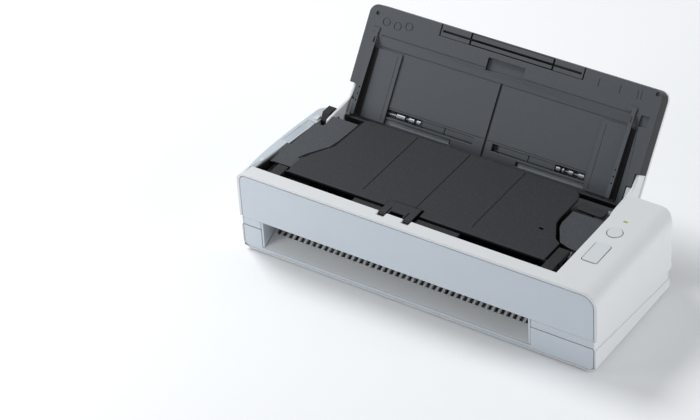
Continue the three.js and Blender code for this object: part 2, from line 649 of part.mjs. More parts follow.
// Release lever of the inner cover: a thumb plate on a stem between two rails
function releaseLever() {
  const thumb = alongZ(leverOutline, well.top - well.plate, well.top);
  const stemRear = lever.front + lever.stem;
  const left = leverMiddle - lever.stem / 2;
  const stem = block(left, left + lever.stem, lever.stemFront + lever.travel + over, stemRear, railLow, stemTop);
  const neck = block(left, left + lever.stem, lever.front + over, stemRear, railLow, inPlate);
  return joinAll([thumb, stem, neck]);
}
place("release_lever", releaseLever(), "deck");

// Hinge brackets at both ends of the opening, and the pins that the paper cover turns on
const bracket = {
  front: body.depth - fromRear.bracketFront, rear: body.depth - fromRear.bracketRear,
  shoulder: body.depth - fromRear.shoulder, low: body.height - fromTop.bracketLow, nose: body.height - fromTop.nose,
  crown: body.height - fromTop.crown, tailTop: body.height - fromTop.tail, thickness: 3,
  leftWidth: 6.2,
};
const bracketSide = (crown) => [
  [bracket.front, bracket.low], [bracket.rear, bracket.low], [bracket.rear, bracket.tailTop],
  [hinge.y + bracket.thickness, crown], [bracket.shoulder, crown], [bracket.front, bracket.nose],
];
const blockFace = opening.right + opening.blockWall;
function hingeBracket(x0, x1, crown) {
  const hole = barX(x0 - over, x1 + over, hinge.y, hinge.z, hinge.pin + gap);
  return alongX(bracketSide(crown), x0, x1).subtract(hole);
}
const leftBracket = opening.leftRear + gap;
place("hinge_bracket_left", hingeBracket(leftBracket, leftBracket + bracket.leftWidth, bracket.crown), "dark");
const rightBracket = blockFace + gap;
const rightBracketEnd = rightBracket + bracket.thickness + bracket.thickness;
const rightCrown = bracket.nose + bracket.thickness;
place("hinge_bracket_right", hingeBracket(rightBracket, rightBracketEnd, rightCrown), "dark");
const pin = (from, to) => barX(from, to, hinge.y, hinge.z, hinge.pin);
place("hinge_pin_left", pin(leftBracket + gap, cheek.leftX + cheek.thickness + cheek.room), "steel");
place("hinge_pin_right", pin(cheek.rightX - cheek.room, rightBracketEnd - gap), "steel");

// Shafts of the paper path: their places seen from the side
const motorHeight = 17;
const axes = {
  feed: onPath(feed.y, feed.rise - feed.roller),
  exit: onPath(exit.y, exit.rise - exit.roller),
  idler: onPath(exit.y, exit.nip + exit.pinch),
  pinch: onPath(feed.y, feed.nip + feed.pinch),
  motor: [body.depth - fromRear.motor, motorHeight],
};
const drive = {
  motorRadius: 11, motorLength: 34, motorShaft: 1.5, motorPulley: 4.5, bearing: 1.2,
  beltWidth: 3, beltPlay: 0.3, beltThickness: 1.2,
};
const rightPlateFace = chassis.rightX + chassis.thickness;
const pulleyLeft = rightPlateFace + gap;
const pulleyRight = pulleyLeft + drive.beltWidth + gap + gap;

// Chassis: two side plates with bearing holes and a tie between them
function chassisPlate(x) {
  const side = [
    [chassis.front, chassis.low], [chassis.rear, chassis.low], [chassis.rear, hinge.z - post.width],
    [well.rear, chassis.top], [chassis.slopeRear, chassis.top], [chassis.front, chassis.slopeTop],
  ];
  const far = x + chassis.thickness + over;
  const holes = Object.values(axes).map(([y, z]) => barX(x - over, far, y, z, feed.shaft + chassis.bearing));
  return cutAll(alongX(side, x, x + chassis.thickness), holes);
}
place("chassis_left", chassisPlate(chassis.leftX), "steel");
place("chassis_right", chassisPlate(chassis.rightX), "steel");
const innerLeft = chassis.leftX + chassis.thickness + gap;
const innerRight = chassis.rightX - gap;
const tie = { front: 44, rear: 47, low: 8, high: 17 };
place("chassis_tie", block(innerLeft, innerRight, tie.front, tie.rear, tie.low, tie.high), "steel");

// Rollers: rubber tyres on steel shafts, with a pulley outside the right side plate
const shaftEnd = chassis.leftX - gap;
function drivenShaft([y, z], radius, pulley) {
  const carried = [...wheels(radius), [pulleyLeft, pulleyRight, pulley]];
  return shaftWithWheels(shaftEnd, pulleyRight, y, z, feed.shaft, carried);
}
place("feed_roller", drivenShaft(axes.feed, feed.roller, feed.pulley), "rubber");
place("exit_roller", drivenShaft(axes.exit, exit.roller, exit.pulley), "rubber");
const idler = shaftWithWheels(shaftEnd, rightPlateFace + gap, ...axes.idler, feed.pinchShaft, wheels(exit.pinch));
place("exit_idler", idler, "rubber");
const pinchEnds = [wedge.left + gap + gap, wedge.right - gap - gap];
place("pinch_roller", shaftWithWheels(...pinchEnds, ...axes.pinch, feed.pinchShaft, wheels(feed.pinch)), "rubber");

// Motor with its pulley, and the belt round the three pulleys
const motorSides = 28;
const motorLeft = innerRight - drive.motorLength;
const [motorY, motorZ] = axes.motor;
const can = barX(motorLeft, innerRight - gap, motorY, motorZ, drive.motorRadius, motorSides);
const endBearing = barX(motorLeft - drive.bearing, motorLeft + over, motorY, motorZ, drive.motorPulley);
place("motor", can.add(endBearing), "steel");
const motorWheel = [[pulleyLeft, pulleyRight, drive.motorPulley]];
const motorShaft = shaftWithWheels(innerRight, pulleyRight, motorY, motorZ, drive.motorShaft, motorWheel);
place("motor_pulley", motorShaft, "steel");

// The convex outline round a set of circles, as a belt lies round its pulleys
function hullOutline(circles, extra) {
  const points = [];
  const steps = 20;
  for (const [y, z, radius] of circles) {
    for (let i = 0; i < steps; i += 1) {
      const turn = (i / steps) * Math.PI * 2;
      points.push([y + (radius + extra) * Math.cos(turn), z + (radius + extra) * Math.sin(turn)]);
    }
  }
  points.sort((a, b) => a[0] - b[0] || a[1] - b[1]);
  const cross = (o, a, b) => (a[0] - o[0]) * (b[1] - o[1]) - (a[1] - o[1]) * (b[0] - o[0]);
  const chain = (list) => {
    const kept = [];
    for (const point of list) {
      while (kept.length > 1 && cross(kept[kept.length - 2], kept[kept.length - 1], point) <= 0) kept.pop();
      kept.push(point);
    }
    return kept.slice(0, -1);
  };
  return [...chain(points), ...chain([...points].reverse())];
}
const pulleys = [[...axes.feed, feed.pulley], [...axes.exit, exit.pulley], [motorY, motorZ, drive.motorPulley]];
const beltInside = hullOutline(pulleys, drive.beltPlay);
const beltOutside = hullOutline(pulleys, drive.beltPlay + drive.beltThickness);
const beltLeft = pulleyLeft + gap;
const beltRight = beltLeft + drive.beltWidth;
const beltRoom = alongX(beltInside, beltLeft - over, beltRight + over);
place("drive_belt", alongX(beltOutside, beltLeft, beltRight).subtract(beltRoom), "rubber");

// Main board with a few parts on it, the power inlet and the data port in the rear wall
const board = {
  left: 44, right: body.width - fromRight.board, front: body.depth - fromRear.boardFront,
  rear: body.depth - fromRear.boardRear, thickness: 1.6, chip: 14, chipHeight: 1.8, chips: 4, pitchShare: 0.2125,
};
const boardLow = floorTop + gap;
function mainBoard() {
  const pieces = [block(board.left, board.right, board.front, board.rear, boardLow, boardLow + board.thickness)];
  for (let i = 0; i < board.chips; i += 1) {
    const x = board.left + board.chip + i * board.pitchShare * (board.right - board.left);
    const y = board.front + board.chip / 2;
    const top = boardLow + board.thickness + board.chipHeight;
    pieces.push(block(x, x + board.chip, y, y + board.chip, boardLow + board.thickness / 2, top));
  }
  return joinAll(pieces);
}
place("main_board", mainBoard(), "board");
const socket = { bore: 3, pin: 0.9, wall: 1.4, tongueSide: 2.8, tongueLow: 2.3, sides: 20 };
const rearFace = body.depth - belt.inset;
function powerInlet() {
  const y0 = body.depth - inlet.depth + gap;
  const middle = inlet.x + inlet.width / 2;
  const height = (inlet.low + inlet.high) / 2;
  const right = inlet.x + inlet.width - gap;
  const housing = block(inlet.x + gap, right, y0, rearFace, inlet.low + gap, inlet.high - gap);
  const round = (radius, from, to) =>
    solid(
      new THREE.CylinderGeometry(radius, radius, to - from, socket.sides).translate(middle, (from + to) / 2, height),
    );
  const bore = round(socket.bore, y0 + socket.wall, rearFace + over);
  return housing.subtract(bore).add(round(socket.pin, y0 + over / 2, rearFace - over));
}
place("power_inlet", powerInlet(), "dark");
function dataPort() {
  const y0 = body.depth - port.depth + gap;
  const right = port.x + port.width;
  const inner = (side, low, from, to) =>
    block(port.x + side, right - side, from, to, port.low + low, port.high - low);
  const housing = inner(gap, gap, y0, rearFace);
  const hole = inner(socket.wall, socket.wall, y0 + socket.wall, rearFace + over);
  const tongue = inner(socket.tongueSide, socket.tongueLow, y0 + over / 2, rearFace - over);
  return housing.subtract(hole).add(tongue);
}
place("data_port", dataPort(), "steel");

// Paper cover. Its frame: X as in the body, u from the hinge to the free edge, w toward the front of the open cover.
const shell = {
  wall: 1.8, inset: 0.4, edge: 1.2, heel: -6, heelLow: -18.3, waist: 0.7, waistLow: -13.5, heelWall: 3.6,
};
const cheekBox = { foot: -7.1, head: 29, back: -23, crest: 12.6 };
const cheekShares = [
  [1.0, 0.0], [1.0, 0.295], [0.917, 0.309], [0.751, 0.337], [0.651, 0.393],
  [0.543, 0.534], [0.46, 0.626], [0.33, 0.8], [0.224, 0.93], [0.152, 1.0],
  [0.08, 0.978], [0.025, 0.871], [0.0, 0.73], [0.0, 0.59], [0.075, 0.463],
];
const cheekSide = [
  ...cheekShares.map(([along, out]) => [
    cheekBox.foot + along * (cheekBox.head - cheekBox.foot),
    cheekBox.back + out * (cheekBox.crest - cheekBox.back),
  ]),
  [shell.waist, shell.waistLow],
  [shell.heel, shell.heelLow],
  [shell.heel, cheekBox.back],
];
const ledge = {
  inner: 21.6, innerRight: body.width - fromRight.ledge, hollow: 19.4, low: 4.5, top: 18.4, web: 1, rim: -11.6,
};
function coverShell() {
  const plan = (inset) =>
    rounded(
      cover.left + inset, cover.foot + inset, cover.right - inset, cover.free - inset,
      0, 0, cover.corner - inset, cover.corner - inset,
    );
  const outside = joinAll([
    alongZ(plan(shell.edge), cover.back, cover.split),
    alongZ(plan(shell.inset), cover.back + shell.edge / 2, cover.split),
    alongZ(plan(0), cover.back + shell.edge, cover.split),
  ]);
  const tub = outside.subtract(alongZ(plan(shell.wall), cover.back + shell.wall, cover.split + over));
  const heelSide = [
    [cover.foot + shell.edge, cover.split - over], [shell.heel, shell.heelLow],
    [shell.heel + shell.wall, shell.heelLow], [shell.heel + shell.heelWall, cover.split - over],
  ];
  const pieces = [tub, alongX(heelSide, cover.left + shell.edge, cover.right - shell.edge)];
  for (const x of [cheek.leftX, cheek.rightX]) pieces.push(alongX(cheekSide, x, x + cheek.thickness));
  const low = ledge.low;
  const base = cover.split - over;
  const webTop = ledge.top - over;
  pieces.push(block(ledge.hollow, ledge.inner, low, webTop, base, ledge.rim));
  pieces.push(block(cheek.leftX + over, ledge.inner, webTop - ledge.web, webTop, base, ledge.rim));
  pieces.push(block(ledge.innerRight, cheek.rightX + over, low, ledge.top, base, ledge.rim));
  const cuts = [barX(0, body.width, 0, 0, hinge.pin + gap)];
  return cutAll(joinAll(pieces), cuts);
}
place("cover_shell", coverShell(), "white", coverFrame);

// Chute liner: the black inner tray with the sunk floor, the roller windows and the finger recess
const fromFree = {
  edge: 28.8, upper: 21.8, recessLow: 22.8, recessHigh: 13.4, extension: 8.8, flap: 8.4, flapAxis: 1.7,
};
const floorPlan = {
  left: 23.2, right: body.width - fromRight.floor, front: 3, low: 9,
  edge: cover.free - fromFree.edge, upper: cover.free - fromFree.upper,
};
const fromMiddle = { windowLeft: 54.7, windowRight: 6, recessLeft: 15.2, recessRight: 15.6 };
const windows = {
  low: 12.4, high: 17.8, leftFrom: 50, leftSplit: liner.centre - fromMiddle.windowLeft,
  rightFrom: liner.centre + fromMiddle.windowRight, rightSplit: body.width - fromRight.windowSplit,
  rightTo: body.width - fromRight.window, endHole: 4.7,
};
const recess = {
  left: liner.centre - fromMiddle.recessLeft, right: liner.centre + fromMiddle.recessRight,
  low: cover.free - fromFree.recessLow, high: cover.free - fromFree.recessHigh, depth: 2.4,
};
const reach = { left: 58.7, right: 60.8, flapLeft: 33.2, flapRight: 35.8 };
const extension = {
  left: liner.centre - reach.left, right: liner.centre + reach.right, low: cover.free - fromFree.extension, inner: 30,
  flapLeft: liner.centre - reach.flapLeft, flapRight: liner.centre + reach.flapRight,
};
const rack = {
  low: 11, width: 2.6, apart: 11, foot: 4, footLow: 7.6, past: 12, thickness: 1.6, travel: 58,
  top: liner.floor - 5.1, under: 1.3,
};
const guide = {
  play: 0.55, base: 27, strip: 6.5, wall: 3.2, plate: 0.8, low: 6.8, top: cover.free - fromFree.edge, edgePlay: 2,
  wallTopPast: 11.6, lowHeight: 6.2, topHeight: 3.3,
};
const guideOuter = (floorPlan.right - floorPlan.left) / 2 - guide.play;
const guideInner = guideOuter - guide.base;
const linerPlan = (inset) => {
  const lower = ledge.inner + gap + inset;
  const lowerRight = ledge.innerRight - gap - inset;
  const waistLeft = cheek.leftX + cheek.thickness + gap + inset;
  const waistRight = cheek.rightX - gap - inset;
  const shape = new THREE.Shape();
  shape.moveTo(lower, liner.foot + inset);
  shape.lineTo(lowerRight, liner.foot + inset);
  shape.lineTo(lowerRight, liner.lowerStep + inset);
  shape.lineTo(waistRight, liner.lowerStep + inset);
  shape.lineTo(waistRight, liner.upperStep + inset);
  shape.lineTo(cover.right - inset, liner.upperStep + inset);
  const radius = cover.corner - inset;
  shape.absarc(cover.right - inset - radius, cover.free - inset - radius, radius, 0, Math.PI / 2);
  shape.absarc(cover.left + inset + radius, cover.free - inset - radius, radius, Math.PI / 2, Math.PI);
  shape.lineTo(cover.left + inset, liner.upperStep + inset);
  shape.lineTo(waistLeft, liner.upperStep + inset);
  shape.lineTo(waistLeft, liner.lowerStep + inset);
  shape.lineTo(lower, liner.lowerStep + inset);
  return shape;
};
const linerBack = cover.split + gap;
function chuteLiner() {
  const skin = liner.skin;
  const far = cover.free + over;
  const full = alongZ(linerPlan(0), linerBack, liner.rim);
  const room = alongZ(linerPlan(skin), linerBack - over, liner.floor - skin);
  const sunk = [
    [floorPlan.front, liner.rim + over], [floorPlan.front, liner.floor - over],
    [floorPlan.low, liner.floor], [floorPlan.edge, liner.floor],
    [floorPlan.upper, liner.rim], [floorPlan.upper, liner.rim + over],
  ];
  const floorSkin = liner.floor - skin;
  const window = (from, to) => block(from, to, windows.low, windows.high, linerBack, liner.rim + over);
  const footSlot = (from, to) =>
    block(from - gap, to + gap, rack.footLow - gap, footHigh + gap, floorSkin - over, liner.floor + over);
  const [leftFrom, leftTo] = guideFoot(-1);
  const [rightFrom, rightTo] = guideFoot(1);
  const cuts = [
    room,
    alongX(sunk, floorPlan.left, floorPlan.right),
    window(windows.leftFrom, windows.leftSplit),
    window(windows.rightFrom, windows.rightFrom + windows.endHole),
    window(windows.rightSplit, windows.rightTo),
    block(recess.left, recess.right, recess.low, recess.high, liner.rim - recess.depth, liner.rim + over),
    block(extension.left - gap, extension.right + gap, extension.low - gap, far, linerBack - over, liner.rim + over),
    footSlot(leftFrom, leftTo + rack.travel),
    footSlot(rightFrom - rack.travel, rightTo),
  ];
  return cutAll(full, cuts);
}
const rackHigh = rack.low + rack.apart;
const footHigh = rack.footLow + rack.width;
function guideFoot(side) {
  const middle = liner.centre + side * (guideInner + rack.foot);
  return [middle - rack.foot / 2, middle + rack.foot / 2];
}
place("chute_liner", chuteLiner(), "liner", coverFrame);

// Side guides: a thin base plate and a tapered wall, each on a rack behind the chute rollers. The right guide
// reaches its rack below the left one's.
function sideGuide(side) {
  const outer = liner.centre + side * guideOuter;
  const inner = liner.centre + side * guideInner;
  const wallLeft = Math.min(outer, outer - side * guide.strip);
  const floor = liner.floor + gap;
  const wallEnd = guide.top + guide.wallTopPast;
  const plateEnd = guide.top - guide.edgePlay;
  const wallSide = [
    [guide.low, floor], [wallEnd, floor], [wallEnd, liner.floor + guide.topHeight],
    [guide.low, liner.floor + guide.lowHeight],
  ];
  const between = (a, b) => [Math.min(a, b), Math.max(a, b)];
  const [footFrom, footTo] = guideFoot(side);
  const low = side < 0 ? rack.low : rackHigh;
  const rackBack = rack.top - rack.thickness;
  const underTop = rackBack - gap;
  const deep = side < 0 ? rackBack : underTop - rack.under;
  const rackEnd = liner.centre - side * (guideInner - rack.travel - rack.past);
  const rackStart = side < 0 ? footFrom : footTo;
  const limited = alongX(wallSide, wallLeft, wallLeft + guide.wall).subtract(
    block(0, body.width, plateEnd, cover.free, linerBack, liner.rim + gap),
  );
  return joinAll([
    limited,
    block(...between(outer, inner), guide.low, plateEnd, floor, floor + guide.plate),
    block(footFrom, footTo, rack.footLow, footHigh, deep, floor + guide.plate / 2),
    block(footFrom, footTo, rack.footLow, low + rack.width, deep, side < 0 ? rack.top : underTop),
    block(footFrom, footTo, low, low + rack.width, deep, rack.top),
    block(...between(rackStart, rackEnd), low, low + rack.width, rackBack, rack.top),
  ]);
}
place("guide_left", sideGuide(-1), "liner", coverFrame);
place("guide_right", sideGuide(1), "liner", coverFrame);

// Pinion between the two racks, on a post of the shell
const pinion = { teeth: 10, root: 3.2, thickness: 1.4, bore: 1.1 };
const pinionU = (rack.low + rack.width + rackHigh) / 2;
const pinionTip = (rackHigh - rack.low - rack.width) / 2 - gap;
function toothedWheel() {
  const points = [];
  const step = (Math.PI * 2) / pinion.teeth;
  const toothShares = [[0.1, 0], [0.3, 1], [0.5, 1], [0.7, 0]];
  for (let i = 0; i < pinion.teeth; i += 1) {
    for (const [along, height] of toothShares) {
      const radius = pinion.root + height * (pinionTip - pinion.root);
      const turn = (i + along) * step;
      points.push([liner.centre + radius * Math.cos(turn), pinionU + radius * Math.sin(turn)]);
    }
  }
  return alongZ(points, rack.top - pinion.thickness, rack.top);
}
place("guide_pinion", toothedWheel(), "white", coverFrame);

// Extension: a tray that slides out of the free edge, and the flap in the middle of its end piece
const flap = {
  low: cover.free - fromFree.flap, axisU: cover.free - fromFree.flapAxis, axisW: -13, stub: 3, radius: 1.4,
};
const trayBack = linerBack + gap;
function extensionTray() {
  const end = block(extension.left, extension.right, extension.low, cover.free, trayBack, liner.rim);
  const sheetTop = extension.low + over;
  const sheet = block(extension.left, extension.right, extension.inner, sheetTop, trayBack, trayBack + liner.skin);
  const [left, right] = [extension.flapLeft, extension.flapRight];
  const wellLow = flap.axisW - flap.radius - gap;
  const flapWell = block(left, right, extension.low - over, cover.free + over, wellLow, liner.rim + over);
  const bores = barX(left - flap.stub, right + flap.stub, flap.axisU, flap.axisW, flap.radius / 2 + gap);
  return cutAll(end.add(sheet), [flapWell, bores]);
}
place("extension_tray", extensionTray(), "deck", coverFrame);
function extensionFlap() {
  const left = extension.flapLeft + gap;
  const right = extension.flapRight - gap;
  const plate = block(left, right, flap.low, flap.axisU, liner.rim - flap.radius, liner.rim);
  const barrel = barX(left, right, flap.axisU, flap.axisW, flap.radius);
  const web = block(left, right, flap.axisU - flap.radius, flap.axisU + flap.radius / 2, flap.axisW, liner.rim);
  const ends = [left - flap.stub + gap, right + flap.stub - gap];
  const stubs = barX(...ends, flap.axisU, flap.axisW, flap.radius / 2);
  return joinAll([plate, barrel, web, stubs]);
}
place("extension_flap", extensionFlap(), "deck", coverFrame);

// Chute rollers: two short light shafts seen through the windows in the liner's floor
const chuteRoller = { shaft: 1, radius: 2.3, sunk: 0.2 };
const rollerU = (windows.low + windows.high) / 2;
const rollerW = liner.floor - chuteRoller.sunk - chuteRoller.radius;
const leftWheelShares = [[0.3, 0.533], [0.65, 0.8], [0.877, 0.977]];
const rightWheelShares = [[0.03, 0.165], [0.248, 0.298], [0.455, 0.599], [0.785, 0.975]];
function chuteShaft(from, to, shares) {
  const list = shares.map(([start, end]) => [
    from + start * (to - from),
    from + end * (to - from),
    chuteRoller.radius,
  ]);
  return shaftWithWheels(from + gap, to - gap, rollerU, rollerW, chuteRoller.shaft, list);
}
place("chute_roller_left", chuteShaft(windows.leftFrom, windows.leftSplit, leftWheelShares), "steel", coverFrame);
place("chute_roller_right", chuteShaft(windows.rightSplit, windows.rightTo, rightWheelShares), "steel", coverFrame);

// Screws that hold the two casing halves, seen from below
screwPlaces.forEach((x, i) => {
  const head = barZ(x, body.depth / 2, floorLevel, floorLevel + screw.headHeight, screw.head);
  const stem = barZ(x, body.depth / 2, floorLevel, floorLevel + screw.length, screw.stem);
  place("case_screw_" + (i + 1), head.add(stem), "steel");
});

// The origin lies under the middle of the whole open scanner, on the surface that it stands on
part.updateMatrixWorld(true);
const extent = new THREE.Box3().setFromObject(part, true);
const middle = extent.getCenter(new THREE.Vector3());
for (const child of part.children) child.position.sub(new THREE.Vector3(middle.x, middle.y, extent.min.z));

export default part;
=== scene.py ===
# A document scanner with its paper cover open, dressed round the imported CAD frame.
import json
import math

import bmesh
import bpy
from mathutils import Matrix, Vector

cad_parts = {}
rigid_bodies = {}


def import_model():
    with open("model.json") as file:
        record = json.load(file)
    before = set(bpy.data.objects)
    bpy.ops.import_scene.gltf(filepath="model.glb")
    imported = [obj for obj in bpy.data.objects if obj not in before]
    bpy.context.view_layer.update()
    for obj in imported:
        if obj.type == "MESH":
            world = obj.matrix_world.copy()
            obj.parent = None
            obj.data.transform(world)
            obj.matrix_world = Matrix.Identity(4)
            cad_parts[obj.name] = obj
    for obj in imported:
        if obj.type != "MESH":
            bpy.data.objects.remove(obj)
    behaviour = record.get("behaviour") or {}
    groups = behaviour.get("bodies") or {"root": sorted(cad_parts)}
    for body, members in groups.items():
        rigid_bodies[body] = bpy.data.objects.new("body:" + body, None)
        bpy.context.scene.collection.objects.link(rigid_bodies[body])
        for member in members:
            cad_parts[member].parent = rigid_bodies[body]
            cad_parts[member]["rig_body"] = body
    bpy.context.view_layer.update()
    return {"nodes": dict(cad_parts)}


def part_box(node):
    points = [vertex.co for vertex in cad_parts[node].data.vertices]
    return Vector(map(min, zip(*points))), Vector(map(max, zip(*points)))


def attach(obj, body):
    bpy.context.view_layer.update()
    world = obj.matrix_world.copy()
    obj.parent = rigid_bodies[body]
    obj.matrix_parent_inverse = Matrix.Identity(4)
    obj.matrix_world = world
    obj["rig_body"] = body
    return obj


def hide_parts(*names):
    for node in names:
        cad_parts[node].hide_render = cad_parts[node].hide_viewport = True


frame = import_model()
cad_nodes = frame["nodes"]
mm = 0.001

# Camera and studio
# The camera stands to the front right and looks down on the scanner, turned a little about its own axis.
# A pale floor, a large soft lamp from the upper left and two weaker ones stand round it.
camera_data = bpy.data.cameras.new("camera")
camera_data.lens = 145.0
camera_data.sensor_width = 36.0
camera_data.clip_end = 20.0
camera = bpy.data.objects.new("camera", camera_data)
bpy.context.scene.collection.objects.link(camera)
camera_place = Vector((0.8792, -1.36889, 1.23935))
camera_aim = Vector((-0.47165, 0.65116, -0.59459))
camera_roll = math.radians(-3.985)
turn = camera_aim.to_track_quat("-Z", "Y").to_matrix().to_4x4() @ Matrix.Rotation(camera_roll, 4, "Z")
camera.matrix_world = Matrix.Translation(camera_place) @ turn
bpy.context.scene.camera = camera

scene = bpy.context.scene
scene.view_settings.view_transform = "Standard"


def linear(red, green, blue):
    """A screen colour, 0 to 255, as the linear colour that a shader socket takes."""
    shares = [channel / 255 for channel in (red, green, blue)]
    return [s / 12.92 if s <= 0.04045 else ((s + 0.055) / 1.055) ** 2.4 for s in shares] + [1.0]


lamp_white = (0.98, 0.99, 1.0)


def soft_lamp(name, place, aim, size, watts):
    """A round lamp that points from one place at another and gives a cool white light."""
    data = bpy.data.lights.new(name, "AREA")
    data.shape = "DISK"
    data.size = size
    data.energy = watts
    data.color = lamp_white
    lamp = bpy.data.objects.new(name, data)
    facing = (aim - place).to_track_quat("-Z", "Y").to_matrix().to_4x4()
    lamp.matrix_world = Matrix.Translation(place) @ facing
    scene.collection.objects.link(lamp)


body_middle, front_left_corner = Vector((0.0, 0.0, 0.04)), Vector((-0.15, -0.08, 0.04))
soft_lamp("key lamp", Vector((-1.25, 0.25, 1.5)), body_middle, size=0.8, watts=22.5)
soft_lamp("right fill", Vector((1.9, 0.2, 0.6)), body_middle, size=1.2, watts=14.5)
soft_lamp("front lamp", Vector((-0.6, -0.55, 0.2)), front_left_corner, size=0.4, watts=1.9)

world = bpy.data.worlds.new("studio")
world.use_nodes = True
scene.world = world
sky = world.node_tree.nodes["Background"]
sky.inputs["Color"].default_value = (0.96, 0.98, 1.0, 1.0)
sky_path = world.node_tree.nodes.new("ShaderNodeLightPath")
sky_level = world.node_tree.nodes.new("ShaderNodeMapRange")
sky_level.inputs["To Min"].default_value = 0.38
sky_level.inputs["To Max"].default_value = 1.0
world.node_tree.links.new(sky_path.outputs["Is Camera Ray"], sky_level.inputs["Value"])
world.node_tree.links.new(sky_level.outputs["Result"], sky.inputs["Strength"])

floor_mesh = bmesh.new()
bmesh.ops.create_grid(floor_mesh, x_segments=1, y_segments=1, size=3.0)
floor_data = bpy.data.meshes.new("floor")
floor_mesh.to_mesh(floor_data)
floor_mesh.free()
floor = bpy.data.objects.new("floor", floor_data)
scene.collection.objects.link(floor)
floor_white = (250, 251, 252)
floor_paint = bpy.data.materials.new("pale floor")
floor_paint.use_nodes = True
floor_shader = floor_paint.node_tree.nodes["Principled BSDF"]
floor_shader.inputs["Base Color"].default_value = linear(*floor_white)
floor_shader.inputs["Roughness"].default_value = 0.9
floor_shader.inputs["Specular IOR Level"].default_value = 0.1
floor_data.materials.append(floor_paint)

# Lower casing
# The white tray under the belt, moulded in satin plastic, with a drafted neck that the upper casing slips
# over. Its edges are rounded as a mould leaves them, and the front of its neck is grey like the panel.
casing_white = (224, 231, 237)
casing_edge = 0.5
same_point, flat_angle = 0.005 * mm, math.radians(0.5)


def moulded_grain():
    """Fine moulded texture, faint clouds and a little dust on what faces up, for every plastic here."""
    group = bpy.data.node_groups.new("moulded grain", "ShaderNodeTree")
    face = group.interface
    for label, start in (("Grain per metre", 2600.0), ("Cloud", 0.04), ("Dust", 0.05)):
        socket = face.new_socket(label, in_out="INPUT", socket_type="NodeSocketFloat")
        socket.default_value = start
    face.new_socket("Height", in_out="OUTPUT", socket_type="NodeSocketFloat")
    face.new_socket("Tone", in_out="OUTPUT", socket_type="NodeSocketFloat")
    face.new_socket("Dust mask", in_out="OUTPUT", socket_type="NodeSocketFloat")
    add, join = group.nodes.new, group.links.new
    given, made = add("NodeGroupInput"), add("NodeGroupOutput")
    place = add("ShaderNodeTexCoord")
    grain = add("ShaderNodeTexNoise")
    grain.inputs["Detail"].default_value = 3.0
    grain.inputs["Roughness"].default_value = 0.6
    join(place.outputs["Object"], grain.inputs["Vector"])
    join(given.outputs["Grain per metre"], grain.inputs["Scale"])
    join(grain.outputs["Fac"], made.inputs["Height"])
    cloud = add("ShaderNodeTexNoise")
    cloud.inputs["Scale"].default_value = 28.0
    cloud.inputs["Detail"].default_value = 4.0
    join(place.outputs["Object"], cloud.inputs["Vector"])
    centred = add("ShaderNodeMath")
    centred.operation = "SUBTRACT"
    centred.inputs[1].default_value = 0.5
    join(cloud.outputs["Fac"], centred.inputs[0])
    tone = add("ShaderNodeMath")
    tone.operation = "MULTIPLY_ADD"
    tone.inputs[2].default_value = 0.5
    join(centred.outputs[0], tone.inputs[0])
    join(given.outputs["Cloud"], tone.inputs[1])
    join(tone.outputs[0], made.inputs["Tone"])
    facing = add("ShaderNodeNewGeometry")
    split = add("ShaderNodeSeparateXYZ")
    join(facing.outputs["Normal"], split.inputs[0])
    speck = add("ShaderNodeTexNoise")
    speck.inputs["Scale"].default_value = 900.0
    speck.inputs["Detail"].default_value = 5.0
    join(place.outputs["Object"], speck.inputs["Vector"])
    patches = add("ShaderNodeMapRange")
    patches.inputs["From Min"].default_value = 0.5
    patches.inputs["From Max"].default_value = 0.72
    join(speck.outputs["Fac"], patches.inputs["Value"])
    upward = add("ShaderNodeMath")
    upward.operation = "MULTIPLY"
    upward.use_clamp = True
    join(split.outputs["Z"], upward.inputs[0])
    join(patches.outputs["Result"], upward.inputs[1])
    dust = add("ShaderNodeMath")
    dust.operation = "MULTIPLY"
    join(upward.outputs[0], dust.inputs[0])
    join(given.outputs["Dust"], dust.inputs[1])
    join(dust.outputs[0], made.inputs["Dust mask"])
    return group


grain_group = moulded_grain()


